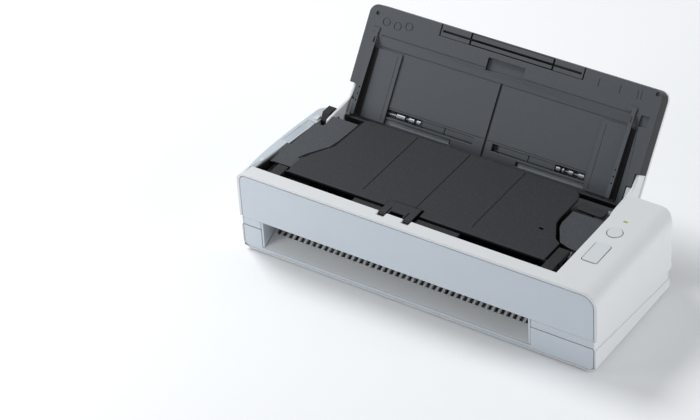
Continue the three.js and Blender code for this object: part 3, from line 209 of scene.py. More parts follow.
def plastic(name, colour, roughness, grain, depth, cloud, dust, specular=0.5, sides=None):
    """A moulded plastic: its colour clouds a little, dust lightens it and its grain is a shallow bump.
    The sides' colour, where given, is painted shade: it darkens the faces that point left or right."""
    darkest, lightest, dust_grey = 0.8, 1.2, (176, 178, 178)
    paint = bpy.data.materials.new(name)
    paint.use_nodes = True
    add, join = paint.node_tree.nodes.new, paint.node_tree.links.new
    shader = paint.node_tree.nodes["Principled BSDF"]
    texture = add("ShaderNodeGroup")
    texture.node_tree = grain_group
    texture.inputs["Grain per metre"].default_value = grain
    texture.inputs["Cloud"].default_value = cloud
    texture.inputs["Dust"].default_value = dust
    shades = add("ShaderNodeMix")
    shades.data_type = "RGBA"
    shades.inputs[6].default_value = linear(*[channel * darkest for channel in colour])
    shades.inputs[7].default_value = linear(*[min(255, channel * lightest) for channel in colour])
    join(texture.outputs["Tone"], shades.inputs[0])
    dusty = add("ShaderNodeMix")
    dusty.data_type = "RGBA"
    dusty.inputs[7].default_value = linear(*dust_grey)
    join(texture.outputs["Dust mask"], dusty.inputs[0])
    join(shades.outputs[2], dusty.inputs[6])
    join(dusty.outputs[2], shader.inputs["Base Color"])
    # Painted shade: faces that point left or right blend to the darker sides colour.
    if sides:
        facing, split = add("ShaderNodeTexCoord"), add("ShaderNodeSeparateXYZ")
        across = add("ShaderNodeMath")
        across.operation = "ABSOLUTE"
        join(facing.outputs["Normal"], split.inputs[0])
        join(split.outputs["X"], across.inputs[0])
        ramp = add("ShaderNodeMapRange")
        ramp.inputs["From Min"].default_value = 0.45
        ramp.inputs["From Max"].default_value = 0.85
        join(across.outputs[0], ramp.inputs["Value"])
        side_shade = add("ShaderNodeMix")
        side_shade.data_type = "RGBA"
        side_shade.inputs[7].default_value = linear(*sides)
        join(ramp.outputs["Result"], side_shade.inputs[0])
        join(dusty.outputs[2], side_shade.inputs[6])
        join(side_shade.outputs[2], shader.inputs["Base Color"])
    dull = add("ShaderNodeMapRange")
    dull.inputs["To Min"].default_value = roughness
    dull.inputs["To Max"].default_value = min(1.0, roughness + 0.25)
    join(texture.outputs["Dust mask"], dull.inputs["Value"])
    join(dull.outputs["Result"], shader.inputs["Roughness"])
    bump = add("ShaderNodeBump")
    bump.inputs["Strength"].default_value = 0.35
    bump.inputs["Distance"].default_value = depth * mm
    join(texture.outputs["Height"], bump.inputs["Height"])
    join(bump.outputs["Normal"], shader.inputs["Normal"])
    shader.inputs["Specular IOR Level"].default_value = specular
    return paint


def shaped(name, mesh, body, paint):
    """A finished bmesh as a piece of the scene that rides on a body."""
    data = bpy.data.meshes.new(name)
    mesh.to_mesh(data)
    mesh.free()
    piece = bpy.data.objects.new(name, data)
    scene.collection.objects.link(piece)
    data.materials.append(paint)
    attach(piece, body)
    return piece


def settle(piece):
    """Bakes the piece's modifiers into its mesh."""
    graph = bpy.context.evaluated_depsgraph_get()
    data = bpy.data.meshes.new_from_object(piece.evaluated_get(graph), depsgraph=graph)
    piece.modifiers.clear()
    piece.data = data


def carve(piece, cutters):
    """Cuts seams, holes and recesses out of a piece with a list of closed bmeshes."""
    for cutter in cutters:
        data = bpy.data.meshes.new("cutter")
        cutter.to_mesh(data)
        cutter.free()
        tool = bpy.data.objects.new("cutter", data)
        scene.collection.objects.link(tool)
        step = piece.modifiers.new("cut", "BOOLEAN")
        step.operation = "DIFFERENCE"
        step.solver = "EXACT"
        step.object = tool
        settle(piece)
        bpy.data.objects.remove(tool)


def edge_room(edge, sharp):
    """How much room the faces beside a sharp edge leave for rounding it, in metres."""
    same_way, leaning, open_end, slack = 0.85, 0.5, 1.0, 0.1 * mm
    first, last = (vertex.co for vertex in edge.verts)
    span = (last - first).length
    along = (last - first).normalized()

    def lies_along(other):
        return abs((other.verts[1].co - other.verts[0].co).normalized().dot(along))

    goes_on = []
    for vertex in edge.verts:
        others = [other for other in vertex.link_edges if other in sharp and other is not edge]
        goes_on.append(any(lies_along(other) > same_way for other in others))
    room = open_end if all(goes_on) else span * (2.0 if any(goes_on) else 1.0)
    for vertex in edge.verts:
        for other in vertex.link_edges:
            if other in sharp and other is not edge and lies_along(other) < same_way:
                room = min(room, other.calc_length())
    for face in edge.link_faces:
        for other in face.edges:
            if other is edge or other not in sharp or lies_along(other) < leaning:
                continue
            if edge.verts[0] in other.verts or edge.verts[1] in other.verts:
                continue
            start, end = (vertex.co for vertex in other.verts)
            for point in (start, end, (start + end) / 2):
                reach = (point - first).dot(along)
                if -slack < reach < span + slack:
                    room = min(room, (point - first - along * reach).length)
    return room


def joined_flats(data):
    """A bmesh of a mesh, with its doubled points merged and its flat faces joined."""
    mesh = bmesh.new()
    mesh.from_mesh(data)
    bmesh.ops.remove_doubles(mesh, verts=mesh.verts, dist=same_point)
    bmesh.ops.dissolve_limit(mesh, angle_limit=flat_angle, verts=mesh.verts, edges=mesh.edges)
    return mesh


def soften(piece, radius, segments=2):
    """Rounds edges over by up to a radius in millimetres, less where two edges lie close together."""
    sharp_angle, crease_angle = math.radians(28), math.radians(35)
    used_room, least_radius = 0.42, 0.04
    mesh = joined_flats(piece.data)
    layers = mesh.edges.layers.float
    weight = layers.get("bevel_weight_edge") or layers.new("bevel_weight_edge")
    sharp = {e for e in mesh.edges if len(e.link_faces) == 2 and e.calc_face_angle(0) > sharp_angle}
    for e in sharp:
        share = min(1.0, used_room * edge_room(e, sharp) / (radius * mm))
        e[weight] = share if share * radius > least_radius else 0.0
    mesh.to_mesh(piece.data)
    mesh.free()
    rounding = piece.modifiers.new("rounded edges", "BEVEL")
    rounding.width = radius * mm
    rounding.segments = segments
    rounding.profile = 0.5
    rounding.limit_method = "WEIGHT"
    rounding.use_clamp_overlap = False
    settle(piece)
    piece.data.polygons.foreach_set("use_smooth", [True] * len(piece.data.polygons))
    piece.data.set_sharp_from_angle(angle=crease_angle)
    weighting = piece.modifiers.new("flat faces", "WEIGHTED_NORMAL")
    weighting.keep_sharp = True
    settle(piece)


def from_cad(node, paint, radius, cutters=(), segments=2):
    """The finished moulding of a CAD solid: a carved copy with rounded edges, kept inside its box."""
    mesh = joined_flats(cad_nodes[node].data)
    piece = shaped(node + "_moulding", mesh, cad_nodes[node]["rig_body"], paint)
    carve(piece, cutters)
    soften(piece, radius, segments)
    low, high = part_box(node)
    for vertex in piece.data.vertices:
        vertex.co = [min(max(c, least), most) for c, least, most in zip(vertex.co, low, high)]
    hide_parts(node)
    return piece


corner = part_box("upper_casing")[0]


def at(x, y, z):
    """A place in the scene, given in millimetres from the front left bottom corner of the body."""
    return Vector((corner.x + x * mm, corner.y + y * mm, z * mm))


def bar(low, high):
    """A closed box between two corners, for a seam or a recess to be cut, or for a rib."""
    mesh = bmesh.new()
    bmesh.ops.create_cube(mesh, size=1.0)
    size, centre = high - low, (high + low) / 2
    bmesh.ops.scale(mesh, vec=[abs(side) for side in size], verts=mesh.verts)
    bmesh.ops.translate(mesh, vec=centre, verts=mesh.verts)
    return mesh


white_plastic = plastic(
    "white casing plastic", casing_white, roughness=0.42, grain=3200.0, depth=0.05, cloud=0.05, dust=0.03
)
past = 1.0
belt_low, belt_high, belt_deep, belt_ends = 20.9, 28.5, 0.4, ((3.0, 17.9), (243.9, 293.0))
belt_cuts = [bar(at(left, -past, belt_low), at(right, belt_deep, belt_high)) for left, right in belt_ends]
lower_casing = from_cad(
    "lower_casing", white_plastic, radius=casing_edge, cutters=belt_cuts
)
panel_grey = (196, 204, 212)
panel_plastic = plastic(
    "grey panel plastic", panel_grey, roughness=0.5, grain=2400.0, depth=0.06, cloud=0.05, dust=0.0
)
lower_casing.data.materials.append(panel_plastic)
neck_low, neck_high, neck_back = 18.5, 31.0, 4.0
for face in lower_casing.data.polygons:
    on_neck = neck_low * mm < face.center.z < neck_high * mm
    if on_neck and face.normal.y < -0.5 and face.center.y < corner.y + neck_back * mm:
        face.material_index = 1

# Upper casing
# One white moulding: the bar over the return slot, the left rim with its sunk face, the block with gaps
# round its buttons and the low rear wall. As painted shade, the rim's top is panel grey, and the gap walls
# and the rear wall's inner faces are black. It drops over the neck of the lower casing.
rim_front, rim_front_height, rim_drop, rim_length = 10.5, 67.6, 10.0, 100.8


def rim_line(y):
    """The height of the left rim's sloping top."""
    return rim_front_height - rim_drop * (y - rim_front) / rim_length


rim_sink = bmesh.new()
rim_from, rim_to = Vector((3.2, 53.5)), Vector((9.7, 88.0))
sink_outer, sink_inner, sink_above = 0.25, 1.9, 2.0
rim_points = []
for y in (rim_from.y, rim_to.y):
    line = rim_line(y)
    lower = ((rim_from.x, line - sink_outer), (rim_to.x, line - sink_inner))
    upper = ((rim_to.x, line + sink_above), (rim_from.x, line + sink_above))
    for x, z in (*lower, *upper):
        rim_points.append(rim_sink.verts.new(at(x, y, z)))
for ring in ((0, 1, 2, 3), (7, 6, 5, 4), (0, 4, 5, 1), (1, 5, 6, 2), (2, 6, 7, 3), (3, 7, 4, 0)):
    rim_sink.faces.new([rim_points[i] for i in ring])
bmesh.ops.recalc_face_normals(rim_sink, faces=rim_sink.faces)
upper_casing = from_cad(
    "upper_casing", white_plastic, radius=casing_edge, cutters=[rim_sink]
)
upper_casing.data.materials.append(panel_plastic)
inside_black = (24, 25, 26)
inside_plastic = plastic(
    "inside black plastic", inside_black, roughness=0.6, grain=2200.0,
    depth=0.05, cloud=0.1, dust=0.03, specular=0.4
)
upper_casing.data.materials.append(inside_plastic)
rim_shade_right, rim_shade_from, rim_shade_above = rim_to.x + 0.1, 14.0, 55.0
block_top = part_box("upper_casing")[1].z / mm
shaded_gap_reach, shaded_gap_lowest, shaded_gap_highest = 1.5, -1.2, -0.3
rear_left, rear_right, rear_inside, rear_low, rear_top = 9.0, 240.0, 108.9, 35.0, 57.6
for face in upper_casing.data.polygons:
    x, y = ((face.center - corner) / mm)[:2]
    height = face.center.z / mm
    # Painted shade: the rim's upward faces, from the front onwards, take the grey of the panel.
    on_rim = x < rim_shade_right and y > rim_shade_from and height > rim_shade_above
    if on_rim and face.normal.z > 0.6:
        face.material_index = 1
    # Painted shade: the walls of the gaps round the buttons take the inside black.
    for low, high in (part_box("power_button"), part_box("scan_button")):
        reach = shaded_gap_reach * mm
        beside = all(low[i] - reach < face.center[i] < high[i] + reach for i in (0, 1))
        if beside and shaded_gap_lowest < height - block_top < shaded_gap_highest:
            face.material_index = 2
    # Painted shade: the inner faces of the low rear wall, seen behind the deck, take the inside black.
    inward = face.normal.y < 0.95 and face.normal.z > -0.5 and abs(face.normal.x) < 0.5
    if inward and rear_left < x < rear_right and y > rear_inside and rear_low < height < rear_top:
        face.material_index = 2

# Belt beads
# Two thin beads of the casing's white plastic, moulded with it, close the seam between the grey belt and
# the sill on both sides of the return slot.
bead_front, bead_back, bead_low, bead_high = 0.05, 1.0, 20.75, 21.2
for left, right in belt_ends:
    bead = bar(at(left, bead_front, bead_low), at(right, bead_back, bead_high))
    shaped("belt_bead", bead, cad_nodes["lower_casing"]["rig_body"], white_plastic)

# Rim catches
# Two small lips of white plastic on the inner edge of the left rim, moulded with it. The closed cover
# snaps under them.
casing_body = cad_nodes["upper_casing"]["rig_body"]
front_catch = at(7.0, 20.0, 65.6), at(9.1, 23.4, 67.2)
rear_catch = at(6.0, 90.0, 58.4), at(9.3, 95.4, 60.9)
for low, high in (front_catch, rear_catch):
    catch = shaped("rim_catch", bar(low, high), casing_body, white_plastic)
    soften(catch, radius=0.3)

# Front panel and sill
# Two pale grey plates of matt plastic, snapped into a shallow seat in the white casing, so that a fine
# groove runs round them.
for node in ("front_panel", "front_sill"):
    from_cad(node, panel_plastic, radius=0.35)

# Feet
# Four round pads of black rubber, pressed into seats in the floor of the lower casing, so that the scanner
# doesn't slide.
rubber_black = (44, 44, 45)
rubber = plastic(
    "foot rubber", rubber_black, roughness=0.85, grain=1500.0,
    depth=0.08, cloud=0.1, dust=0.02, specular=0.3
)
for number in range(1, 5):
    from_cad("foot_%d" % number, rubber, radius=0.4)

# Buttons and status light
# A round power button and a long scan button, moulded in a slightly paler grey than the panel, and a clear
# lens over a green light. All three sit in holes of the casing.
button_grey = (208, 215, 221)
button_plastic = plastic(
    "button plastic", button_grey, roughness=0.45, grain=2400.0, depth=0.04, cloud=0.04, dust=0.0
)
for node in ("power_button", "scan_button"):
    from_cad(node, button_plastic, radius=0.35, segments=3)
deep_green, bright_green = (96, 150, 20), (150, 190, 50)
lens = bpy.data.materials.new("status lens")
lens.use_nodes = True
lens_shader = lens.node_tree.nodes["Principled BSDF"]
lens_place = lens.node_tree.nodes.new("ShaderNodeTexCoord")
lens_cloud = lens.node_tree.nodes.new("ShaderNodeTexNoise")
lens_cloud.inputs["Scale"].default_value = 900.0
lens_colours = lens.node_tree.nodes.new("ShaderNodeMix")
lens_colours.data_type = "RGBA"
lens_colours.inputs[6].default_value = linear(*deep_green)
lens_colours.inputs[7].default_value = linear(*bright_green)
lens.node_tree.links.new(lens_place.outputs["Object"], lens_cloud.inputs["Vector"])
lens.node_tree.links.new(lens_cloud.outputs["Fac"], lens_colours.inputs[0])
lens.node_tree.links.new(lens_colours.outputs[2], lens_shader.inputs["Base Color"])
lens.node_tree.links.new(lens_colours.outputs[2], lens_shader.inputs["Emission Color"])
lens_shader.inputs["Emission Strength"].default_value = 0.35
lens_shader.inputs["Roughness"].default_value = 0.2
from_cad("status_light", lens, radius=0.25)

# Return slot
# Scanned sheets come out through this slot. Its sloping floor of white plastic ends in a comb between the
# exit wheels. A black plastic frame with grey ends, set in behind the panel, closes the hollow round it.
from_cad("slot_tray", white_plastic, radius=0.2)
exit_frame = from_cad("exit_frame", inside_plastic, radius=0.2)
exit_frame.data.materials.append(panel_plastic)
end_depth, front_depth = 14.0, 1.5
for face in exit_frame.data.polygons:
    depth = (face.center.y - corner.y) / mm
    on_end = abs(face.normal.x) > 0.9 and depth < end_depth
    if on_end or (face.normal.y < -0.3 and depth < front_depth):
        face.material_index = 1

# Trough behind the bar
# A black plastic moulding that closes the gap between the white bar and the inner cover. Flat bars bridge
# it beside the stopper, and its two ears carry the pins of the inner cover.
from_cad("exit_trough", inside_plastic, radius=0.3)

# Inner cover
# The black plastic deck over the paper path: one broad plate, moulded with four fields that meet in fine
# seams, with a small square hole near its right edge. It turns on the ears of the trough.
deck_black = (29, 33, 37)
# Painted shade: the black that faces pointing left or right are darkened to on the deck, the wells and the
# guides.
side_shade_black = (20, 21, 22)
deck_plastic = plastic(
    "deck black plastic", deck_black, roughness=0.5, grain=2600.0,
    depth=0.08, cloud=0.12, dust=0.04, specular=0.42, sides=side_shade_black
)
deck_top, seam_front, seam_back, seam_wide, seam_deep = 66.9, 26.8, 101.0, 0.6, 0.45
deck_cuts = []
for x in (91.6, 136.2, 181.9):
    low = at(x - seam_wide / 2, seam_front, deck_top - seam_deep)
    deck_cuts.append(bar(low, at(x + seam_wide / 2, seam_back, deck_top + past)))
hole_left, hole_right, hole_front, hole_back, hole_deep = 222.6, 226.0, 47.9, 50.3, 2.2
hole_low = at(hole_left, hole_front, deck_top - hole_deep)
deck_cuts.append(bar(hole_low, at(hole_right, hole_back, deck_top + past)))
from_cad("inner_cover", deck_plastic, radius=0.45, cutters=deck_cuts)

# Stopper
# A small flap of the deck's black plastic on two hooks in the white bar, folded back over the front edge
# of the inner cover. It swings up to stop the sheets.
from_cad("stopper", deck_plastic, radius=0.25)

# Side wells and release lever
# Lower plates of black plastic beside the inner cover, which rest on the chassis. The right one guides the
# lever that frees the inner cover.
well_black = (56, 60, 65)
# Painted shade: the wells' faces that point left or right are darkened to the side black.
well_plastic = plastic(
    "well black plastic", well_black, roughness=0.55, grain=2400.0,
    depth=0.08, cloud=0.12, dust=0.08, sides=side_shade_black
)
for node in ("side_well_left", "side_well_right"):
    from_cad(node, well_plastic, radius=0.3)
from_cad("release_lever", deck_plastic, radius=0.3)

# Deck edge shade
# A thin black ribbon on the left well along the edge of the inner cover, and a black sheet below the front
# left corner of the deck: painted shade along the deck's edge and in the gap under it.
ribbon_low, ribbon_high, ribbon_gap = 64.66, 64.8, 0.3
ribbon_line = (
    (49.0, 98.8, 2.9),
    (46.5, 97.0, 2.9),
    (46.0, 87.1, 2.9),
    (45.4, 70.9, 3.2),
    (44.9, 61.3, 4.4),
    (35.5, 45.4, 5.2),
    (32.9, 39.0, 5.2),
)
ribbon = bmesh.new()
ribbon_rows = []
for x, y, wide in ribbon_line:
    left, right = x - ribbon_gap - wide, x - ribbon_gap
    places = ((left, ribbon_low), (right, ribbon_low), (right, ribbon_high), (left, ribbon_high))
    ribbon_rows.append([ribbon.verts.new(at(across, y, z)) for across, z in places])
for row, after in zip(ribbon_rows, ribbon_rows[1:]):
    for i in range(4):
        j = (i + 1) % 4
        ribbon.faces.new((row[i], row[j], after[j], after[i]))
ribbon.faces.new(ribbon_rows[0])
ribbon.faces.new(ribbon_rows[-1])
bmesh.ops.recalc_face_normals(ribbon, faces=ribbon.faces)
# Painted shade: the near-black of the ribbon and the sheet.
painted_shade = plastic(
    "black foam", inside_black, roughness=0.95, grain=1200.0,
    depth=0.1, cloud=0.15, dust=0.02, specular=0.2
)
shaped("deck_edge_shade", ribbon, casing_body, painted_shade)
sheet_low, sheet_high = at(24.0, 17.5, 61.0), at(50.0, 30.0, 61.3)
shaped("shade_sheet", bar(sheet_low, sheet_high), casing_body, painted_shade)

# Hinge brackets and pins
# Two black plastic brackets, screwed to the casing, hold the pins of drawn steel that the paper cover turns
# on.
for node in ("hinge_bracket_left", "hinge_bracket_right"):
    from_cad(node, inside_plastic, radius=0.3)


def metal(name, colour, roughness, lines):
    """A drawn or stamped steel, with fine lines in its gloss and a little staining."""
    stain_shade = 0.88
    paint = bpy.data.materials.new(name)
    paint.use_nodes = True
    add, join = paint.node_tree.nodes.new, paint.node_tree.links.new
    shader = paint.node_tree.nodes["Principled BSDF"]
    place, stretch = add("ShaderNodeTexCoord"), add("ShaderNodeMapping")
    stretch.inputs["Scale"].default_value = (40.0, lines, lines)
    streak, stain = add("ShaderNodeTexNoise"), add("ShaderNodeTexNoise")
    streak.inputs["Scale"].default_value = 1.0
    streak.inputs["Detail"].default_value = 3.0
    stain.inputs["Scale"].default_value = 60.0
    join(place.outputs["Object"], stretch.inputs["Vector"])
    join(stretch.outputs["Vector"], streak.inputs["Vector"])
    join(place.outputs["Object"], stain.inputs["Vector"])
    gloss = add("ShaderNodeMapRange")
    gloss.inputs["To Min"].default_value = max(0.05, roughness - 0.1)
    gloss.inputs["To Max"].default_value = roughness + 0.15
    join(streak.outputs["Fac"], gloss.inputs["Value"])
    join(gloss.outputs["Result"], shader.inputs["Roughness"])
    shades = add("ShaderNodeMix")
    shades.data_type = "RGBA"
    shades.inputs[6].default_value = linear(*[channel * stain_shade for channel in colour])
    shades.inputs[7].default_value = linear(*colour)
    join(stain.outputs["Fac"], shades.inputs[0])
    join(shades.outputs[2], shader.inputs["Base Color"])
    shader.inputs["Metallic"].default_value = 1.0
    return paint


def wears(node, paint):
    """A CAD solid that keeps its own shape and gets its finish here."""
    cad_nodes[node].data.materials.clear()
    cad_nodes[node].data.materials.append(paint)


steel_grey = (205, 208, 212)
drawn_steel = metal("drawn steel", steel_grey, roughness=0.3, lines=2500.0)
for node in ("hinge_pin_left", "hinge_pin_right"):
    wears(node, drawn_steel)

# Chassis
# Two stamped steel side plates with bearing holes for the shafts, and a tie bar between them. They stand in
# the casing, under the deck.
stamped_grey = (186, 190, 194)
stamped_steel = metal("stamped steel", stamped_grey, roughness=0.4, lines=900.0)
for node in ("chassis_left", "chassis_right", "chassis_tie"):
    wears(node, stamped_steel)

# Paper path
# The fixed black plastic guide below the path, and the two scanning bars behind their strips of glass, one
# in the casing and one in the inner cover.
for node in ("lower_guide", "upper_sensor", "lower_sensor"):
    wears(node, inside_plastic)
deep_glass, pale_glass = (168, 190, 198), (190, 206, 210)
scan_glass = bpy.data.materials.new("scanning glass")
scan_glass.use_nodes = True
glass_shader = scan_glass.node_tree.nodes["Principled BSDF"]
glass_shader.inputs["Transmission Weight"].default_value = 0.85
glass_shader.inputs["Metallic"].default_value = 0.0
glass_place = scan_glass.node_tree.nodes.new("ShaderNodeTexCoord")
glass_smear = scan_glass.node_tree.nodes.new("ShaderNodeTexNoise")
glass_smear.inputs["Scale"].default_value = 120.0
glass_dull = scan_glass.node_tree.nodes.new("ShaderNodeMapRange")
glass_dull.inputs["To Min"].default_value = 0.03
glass_dull.inputs["To Max"].default_value = 0.12
glass_tint = scan_glass.node_tree.nodes.new("ShaderNodeMix")
glass_tint.data_type = "RGBA"
glass_tint.inputs[6].default_value = linear(*deep_glass)
glass_tint.inputs[7].default_value = linear(*pale_glass)
for source, target in (
    (glass_place.outputs["Object"], glass_smear.inputs["Vector"]),
    (glass_smear.outputs["Fac"], glass_dull.inputs["Value"]),
    (glass_dull.outputs["Result"], glass_shader.inputs["Roughness"]),
    (glass_smear.outputs["Fac"], glass_tint.inputs[0]),
    (glass_tint.outputs[2], glass_shader.inputs["Base Color"]),
):
    scan_glass.node_tree.links.new(source, target)
for node in ("upper_glass", "lower_glass"):
    wears(node, scan_glass)

# Rollers
# Soft black rubber tyres on the feed shaft, on the exit shaft and on the two shafts that press on them. All
# four turn in bores of the chassis or of the inner cover.
tyre_black = (52, 52, 53)
tyre_rubber = plastic(
    "roller rubber", tyre_black, roughness=0.8, grain=1800.0,
    depth=0.06, cloud=0.1, dust=0.02, specular=0.3
)
for node in ("feed_roller", "exit_roller", "exit_idler", "pinch_roller"):
    wears(node, tyre_rubber)

# Drive
# The steel motor with its pulley, and a rubber belt that takes its turn to the feed shaft and the exit
# shaft.
for node in ("motor", "motor_pulley"):
    wears(node, drawn_steel)
wears("drive_belt", rubber)

# Main board and sockets
# The circuit board with its larger parts, and the power inlet and the data port, which sit in holes of the
# rear wall.
board_green = (34, 92, 62)
board_resist = plastic(
    "solder resist", board_green, roughness=0.4, grain=700.0, depth=0.1, cloud=0.3, dust=0.0
)
wears("main_board", board_resist)
from_cad("power_inlet", inside_plastic, radius=0.15)
from_cad("data_port", drawn_steel, radius=0.15)

# Case screws
# Two steel screws, driven in from below, that hold the lower casing and the upper casing together.
for number in (1, 2):
    wears("case_screw_%d" % number, drawn_steel)

# Paper cover
# The outer shell of the cover, moulded in white plastic and open as a chute. In its frame x runs as on the
# body, u from the hinge pins to the free edge and w towards the front, out of the chute.
hinge_y, hinge_z, tilt = 101.0, 57.5, math.radians(54.5)
cover_turn = Matrix.Rotation(tilt, 3, "X")


def on_cover(x, u, w):
    """A place in the scene, given in millimetres in the frame of the open cover."""
    return at(x, hinge_y, hinge_z) + cover_turn @ Vector((0.0, u * mm, w * mm))


def cover_bar(x0, x1, u0, u1, w0, w1):
    """A closed box in the frame of the open cover."""
    mesh = bar(Vector((x0, u0, w0)) * mm, Vector((x1, u1, w1)) * mm)
    bmesh.ops.rotate(mesh, cent=(0, 0, 0), matrix=cover_turn, verts=mesh.verts)
    bmesh.ops.translate(mesh, vec=on_cover(0, 0, 0), verts=mesh.verts)
    return mesh


def cover_disc(x, u, w0, w1, radius, sides=24):
    """A closed round plug in the frame of the open cover."""
    mesh = bmesh.new()
    round_size = {"radius1": radius * mm, "radius2": radius * mm, "depth": (w1 - w0) * mm}
    bmesh.ops.create_cone(mesh, cap_ends=True, segments=sides, **round_size)
    bmesh.ops.rotate(mesh, cent=(0, 0, 0), matrix=cover_turn, verts=mesh.verts)
    bmesh.ops.translate(mesh, vec=on_cover(x, u, (w0 + w1) / 2), verts=mesh.verts)
    return mesh


def cover_ring(x, u, w0, w1, outer, inner, sides=28):
    """A closed ring in the frame of the open cover, for a round groove."""
    mesh = bmesh.new()
    places = ((inner, w0), (outer, w0), (outer, w1), (inner, w1))
    rows = []
    for step in range(sides):
        turn = math.tau * step / sides
        side, up = math.cos(turn), math.sin(turn)
        rows.append([mesh.verts.new(on_cover(x + r * side, u + r * up, w)) for r, w in places])
    for row, after in zip(rows, rows[1:] + rows[:1]):
        for i in range(4):
            j = (i + 1) % 4
            mesh.faces.new((row[i], row[j], after[j], after[i]))
    bmesh.ops.recalc_face_normals(mesh, faces=mesh.faces)
    return mesh


from_cad("cover_shell", white_plastic, radius=0.6)

# Chute liner
# The black plastic tray inside the cover, held by its rim in the shell: a sunk floor in two fields,
# windows for the rollers beside two sunk bars, the finger recess, and a small recess at its right edge.
liner_black, liner_side_shade = (74, 78, 83), (8, 9, 10)
# Painted shade: the near-black second colour darkens the liner's faces that point left or right.
liner_plastic = plastic(
    "liner black plastic", liner_black, roughness=0.55, grain=2200.0,
    depth=0.08, cloud=0.1, dust=0.05, sides=liner_side_shade
)
rim_w, floor_w = -11.2, -13.7


def floor_cut(left, right, u0, u1, deep):
    """A cutter for a straight groove or recess of the floor."""
    return cover_bar(left, right, u0, u1, floor_w - deep, floor_w + past)


def rim_cut(left, right, u0, u1, deep):
    """A cutter for a straight groove or recess of the rim's face."""
    return cover_bar(left, right, u0, u1, rim_w - deep, rim_w + past)


deep_cut, line_deep, fine_deep = 1.2, 0.5, 0.4
middle_seam = floor_cut(133.6, 135.2, 6.0, 61.0, deep_cut)
side_recess = rim_cut(246.8, 253.0, 61.3, 69.5, deep_cut)
dimple_radius, dimple_places = 1.5, ((22.0, 83.4), (254.2, 86.7))
dimples = [cover_disc(x, u, rim_w - deep_cut, rim_w + past, dimple_radius) for x, u in dimple_places]
step_left, step_right = 30.0, 238.0
upper_step = floor_cut(step_left, step_right, 60.2, 60.9, line_deep)
rim_step = rim_cut(step_left, step_right, 68.2, 69.0, line_deep)
field_low, field_high, field_ends = 18.6, 19.3, ((24.0, 132.6), (136.2, 245.5))
field_lines = [floor_cut(left, right, field_low, field_high, fine_deep) for left, right in field_ends]
liner_cuts = [middle_seam, side_recess, *dimples, upper_step, rim_step, *field_lines]
bar_low, bar_high, crease_low, crease_high, crease_deep = 13.2, 17.8, 12.3, 13.3, 1.4
joint_low, joint_half = 12.4, 0.3
for left, right, joint in ((80.6, 124.6, 100.3), (145.6, 192.4, 171.0)):
    liner_cuts.append(floor_cut(left, right, bar_low, bar_high, fine_deep))
    liner_cuts.append(floor_cut(left, right, crease_low, crease_high, crease_deep))
    liner_cuts.append(floor_cut(joint - joint_half, joint + joint_half, joint_low, bar_high, deep_cut))
ring_outer, ring_inner, ring_deep = 3.2, 2.6, 0.4
for x, u in ((31.0, 79.0), (40.9, 78.2), (50.2, 80.3)):
    liner_cuts.append(cover_ring(x, u, rim_w - ring_deep, rim_w + past, ring_outer, ring_inner))
mark_low, mark_high, mark_deep, mark_wide = 79.5, 85.6, 0.3, 0.5
for x in (208.5, 225.5, 239.6, 242.4):
    liner_cuts.append(rim_cut(x - mark_wide / 2, x + mark_wide / 2, mark_low, mark_high, mark_deep))
from_cad("chute_liner", liner_plastic, radius=0.4, cutters=liner_cuts)

# Side guides
# Two black plastic sliders that hold the sheets in line, each a thin base with a tapered wall, joined by
# racks and a pinion behind the floor. Each pulls a thin tape along there, over the slot of its foot.
guide_black = (76, 80, 86)
# Painted shade: the guides' faces that point left or right, the walls' sides among them, are darkened to the
# side black.
guide_plastic = plastic(
    "guide black plastic", guide_black, roughness=0.55, grain=2400.0,
    depth=0.08, cloud=0.1, dust=0.05, sides=side_shade_black
)
wall_low, wall_high = floor_w + 3.0, floor_w + 8.0
dot_inset, dot_radius, dot_sides, dot_rows = 1.6, 0.55, 12, (17.5, 22.5, 27.5)
tab_left, tab_right, tab_low, tab_high, tab_back, tab_front = -3.0, 3.6, 70.2, 73.4, 0.15, 0.8
slot_left, slot_right, slot_low, slot_high, slot_floor = 1.0, 2.2, 62.0, 66.5, 2.0
line_half, line_low, line_high, line_back, line_front = 0.2, 8.0, 57.0, 0.9, 1.5
strip_left, strip_right, strip_low, strip_high, strip_back, strip_front = 3.25, 6.45, 7.0, 58.8, 1.08, 1.3
for node, (wall, pocket) in {"guide_left": (23.75, 47.4), "guide_right": (239.15, 222.6)}.items():
    body = cad_nodes[node]["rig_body"]
    dots = [cover_disc(wall + dot_inset, u, wall_low, wall_high, dot_radius, dot_sides) for u in dot_rows]
    across = wall + tab_left, wall + tab_right
    tab = cover_bar(*across, tab_low, tab_high, rim_w + tab_back, rim_w + tab_front)
    finger_tab = shaped(node + "_tab", tab, body, guide_plastic)
    soften(finger_tab, radius=0.25)
    across = wall + slot_left, wall + slot_right
    slot = cover_bar(*across, slot_low, slot_high, floor_w + slot_floor, wall_high)
    across = pocket - line_half, pocket + line_half
    pocket_line = cover_bar(*across, line_low, line_high, floor_w + line_back, floor_w + line_front)
    from_cad(node, guide_plastic, radius=0.25, cutters=[*dots, slot, pocket_line])
    # Painted shade: a thin strip of the dark foot rubber on each base, beside the wall, stands in for the
    # shade of a taller wall's side and its shadow.
    across = wall + strip_left, wall + strip_right
    shade_strip = cover_bar(*across, strip_low, strip_high, floor_w + strip_back, floor_w + strip_front)
    shaped(node + "_strip", shade_strip, body, rubber)
# Painted light: the tape is paler than the liner so that, in the shade of its slot, it looks like the lit
# floor.
tape_painted_light_grey = (150, 155, 161)
tape_plastic = plastic(
    "shutter tape", tape_painted_light_grey, roughness=0.6, grain=1800.0, depth=0.05, cloud=0.08, dust=0.03
)
tape_low, tape_high, tape_reach, tape_thick = 6.9, 11.1, 55.0, 0.12
left_tape = ("guide_left", 50.5, 50.5 + tape_reach, -15.58)
right_tape = ("guide_right", 218.7 - tape_reach, 218.7, -15.44)
for node, tape_left, tape_right, tape_back in (left_tape, right_tape):
    tape = cover_bar(tape_left, tape_right, tape_low, tape_high, tape_back, tape_back + tape_thick)
    shaped(node + "_shutter", tape, cad_nodes[node]["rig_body"], tape_plastic)
wears("guide_pinion", white_plastic)

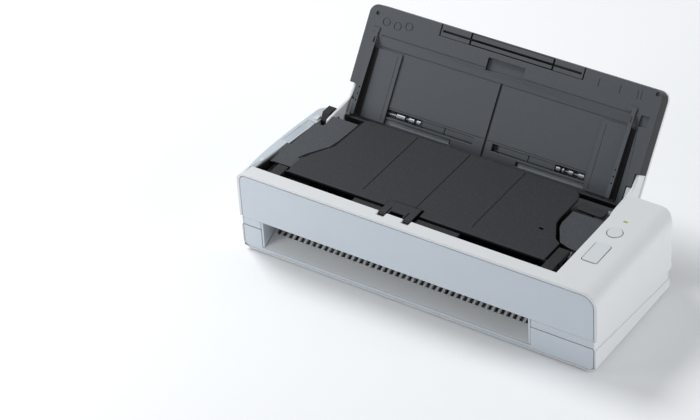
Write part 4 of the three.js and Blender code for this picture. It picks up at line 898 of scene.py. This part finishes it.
# Extension
# A tray of the liner's plastic that slides out of the free edge to hold longer sheets, with a flap on two
# stub pins in the middle of its end piece.
tray_left, tray_right = ((side.x - corner.x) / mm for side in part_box("extension_tray"))
flap_left, flap_right = ((side.x - corner.x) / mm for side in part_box("extension_flap"))
stub_reach = 2.7
flap_left, flap_right = flap_left + stub_reach, flap_right - stub_reach
slit_low, slit_high, slit_deep, slit_inset, slit_overlap = 84.0, 85.6, 1.4, 2.0, 1.0
seam_low, seam_high, seam_half, seam_shift = 80.5, 90.5, 0.45, 0.3


def lip_cuts(spans, seams):
    """The long slit below the lip of the end piece, and the grooves where its parts meet."""
    slits = [rim_cut(left, right, slit_low, slit_high, slit_deep) for left, right in spans]
    return slits + [rim_cut(x - seam_half, x + seam_half, seam_low, seam_high, slit_deep) for x in seams]


def paint_slit_shade(piece):
    """Paints the floors and walls of the slits and grooves with the inside black, as painted shade."""
    piece.data.materials.append(inside_plastic)
    lowest_u, lowest_w, highest_w = seam_low, rim_w - slit_deep - 0.1, rim_w - 0.3
    for face in piece.data.polygons:
        place = cover_turn.transposed() @ (face.center - on_cover(0, 0, 0)) / mm
        if lowest_u < place.y and lowest_w < place.z < highest_w:
            face.material_index = 1


tray_spans = [(tray_left + slit_inset, flap_left), (flap_right, tray_right - slit_inset)]
tray_seams = [tray_left, flap_left - seam_shift, flap_right + seam_shift, tray_right]
extension_tray = from_cad(
    "extension_tray", liner_plastic, radius=0.3, cutters=lip_cuts(tray_spans, tray_seams)
)
paint_slit_shade(extension_tray)
flap_spans = [(flap_left - slit_overlap, flap_right + slit_overlap)]
extension_flap = from_cad(
    "extension_flap", liner_plastic, radius=0.3,
    cutters=lip_cuts(flap_spans, [flap_left, flap_right])
)
paint_slit_shade(extension_flap)

# Chute rollers
# Two shafts of light steel with narrow wheels, set behind the floor of the liner and seen through its
# windows.
roller_grey = (158, 162, 169)
roller_steel = metal("roller steel", roller_grey, roughness=0.42, lines=600.0)
for node in ("chute_roller_left", "chute_roller_right"):
    wears(node, roller_steel)
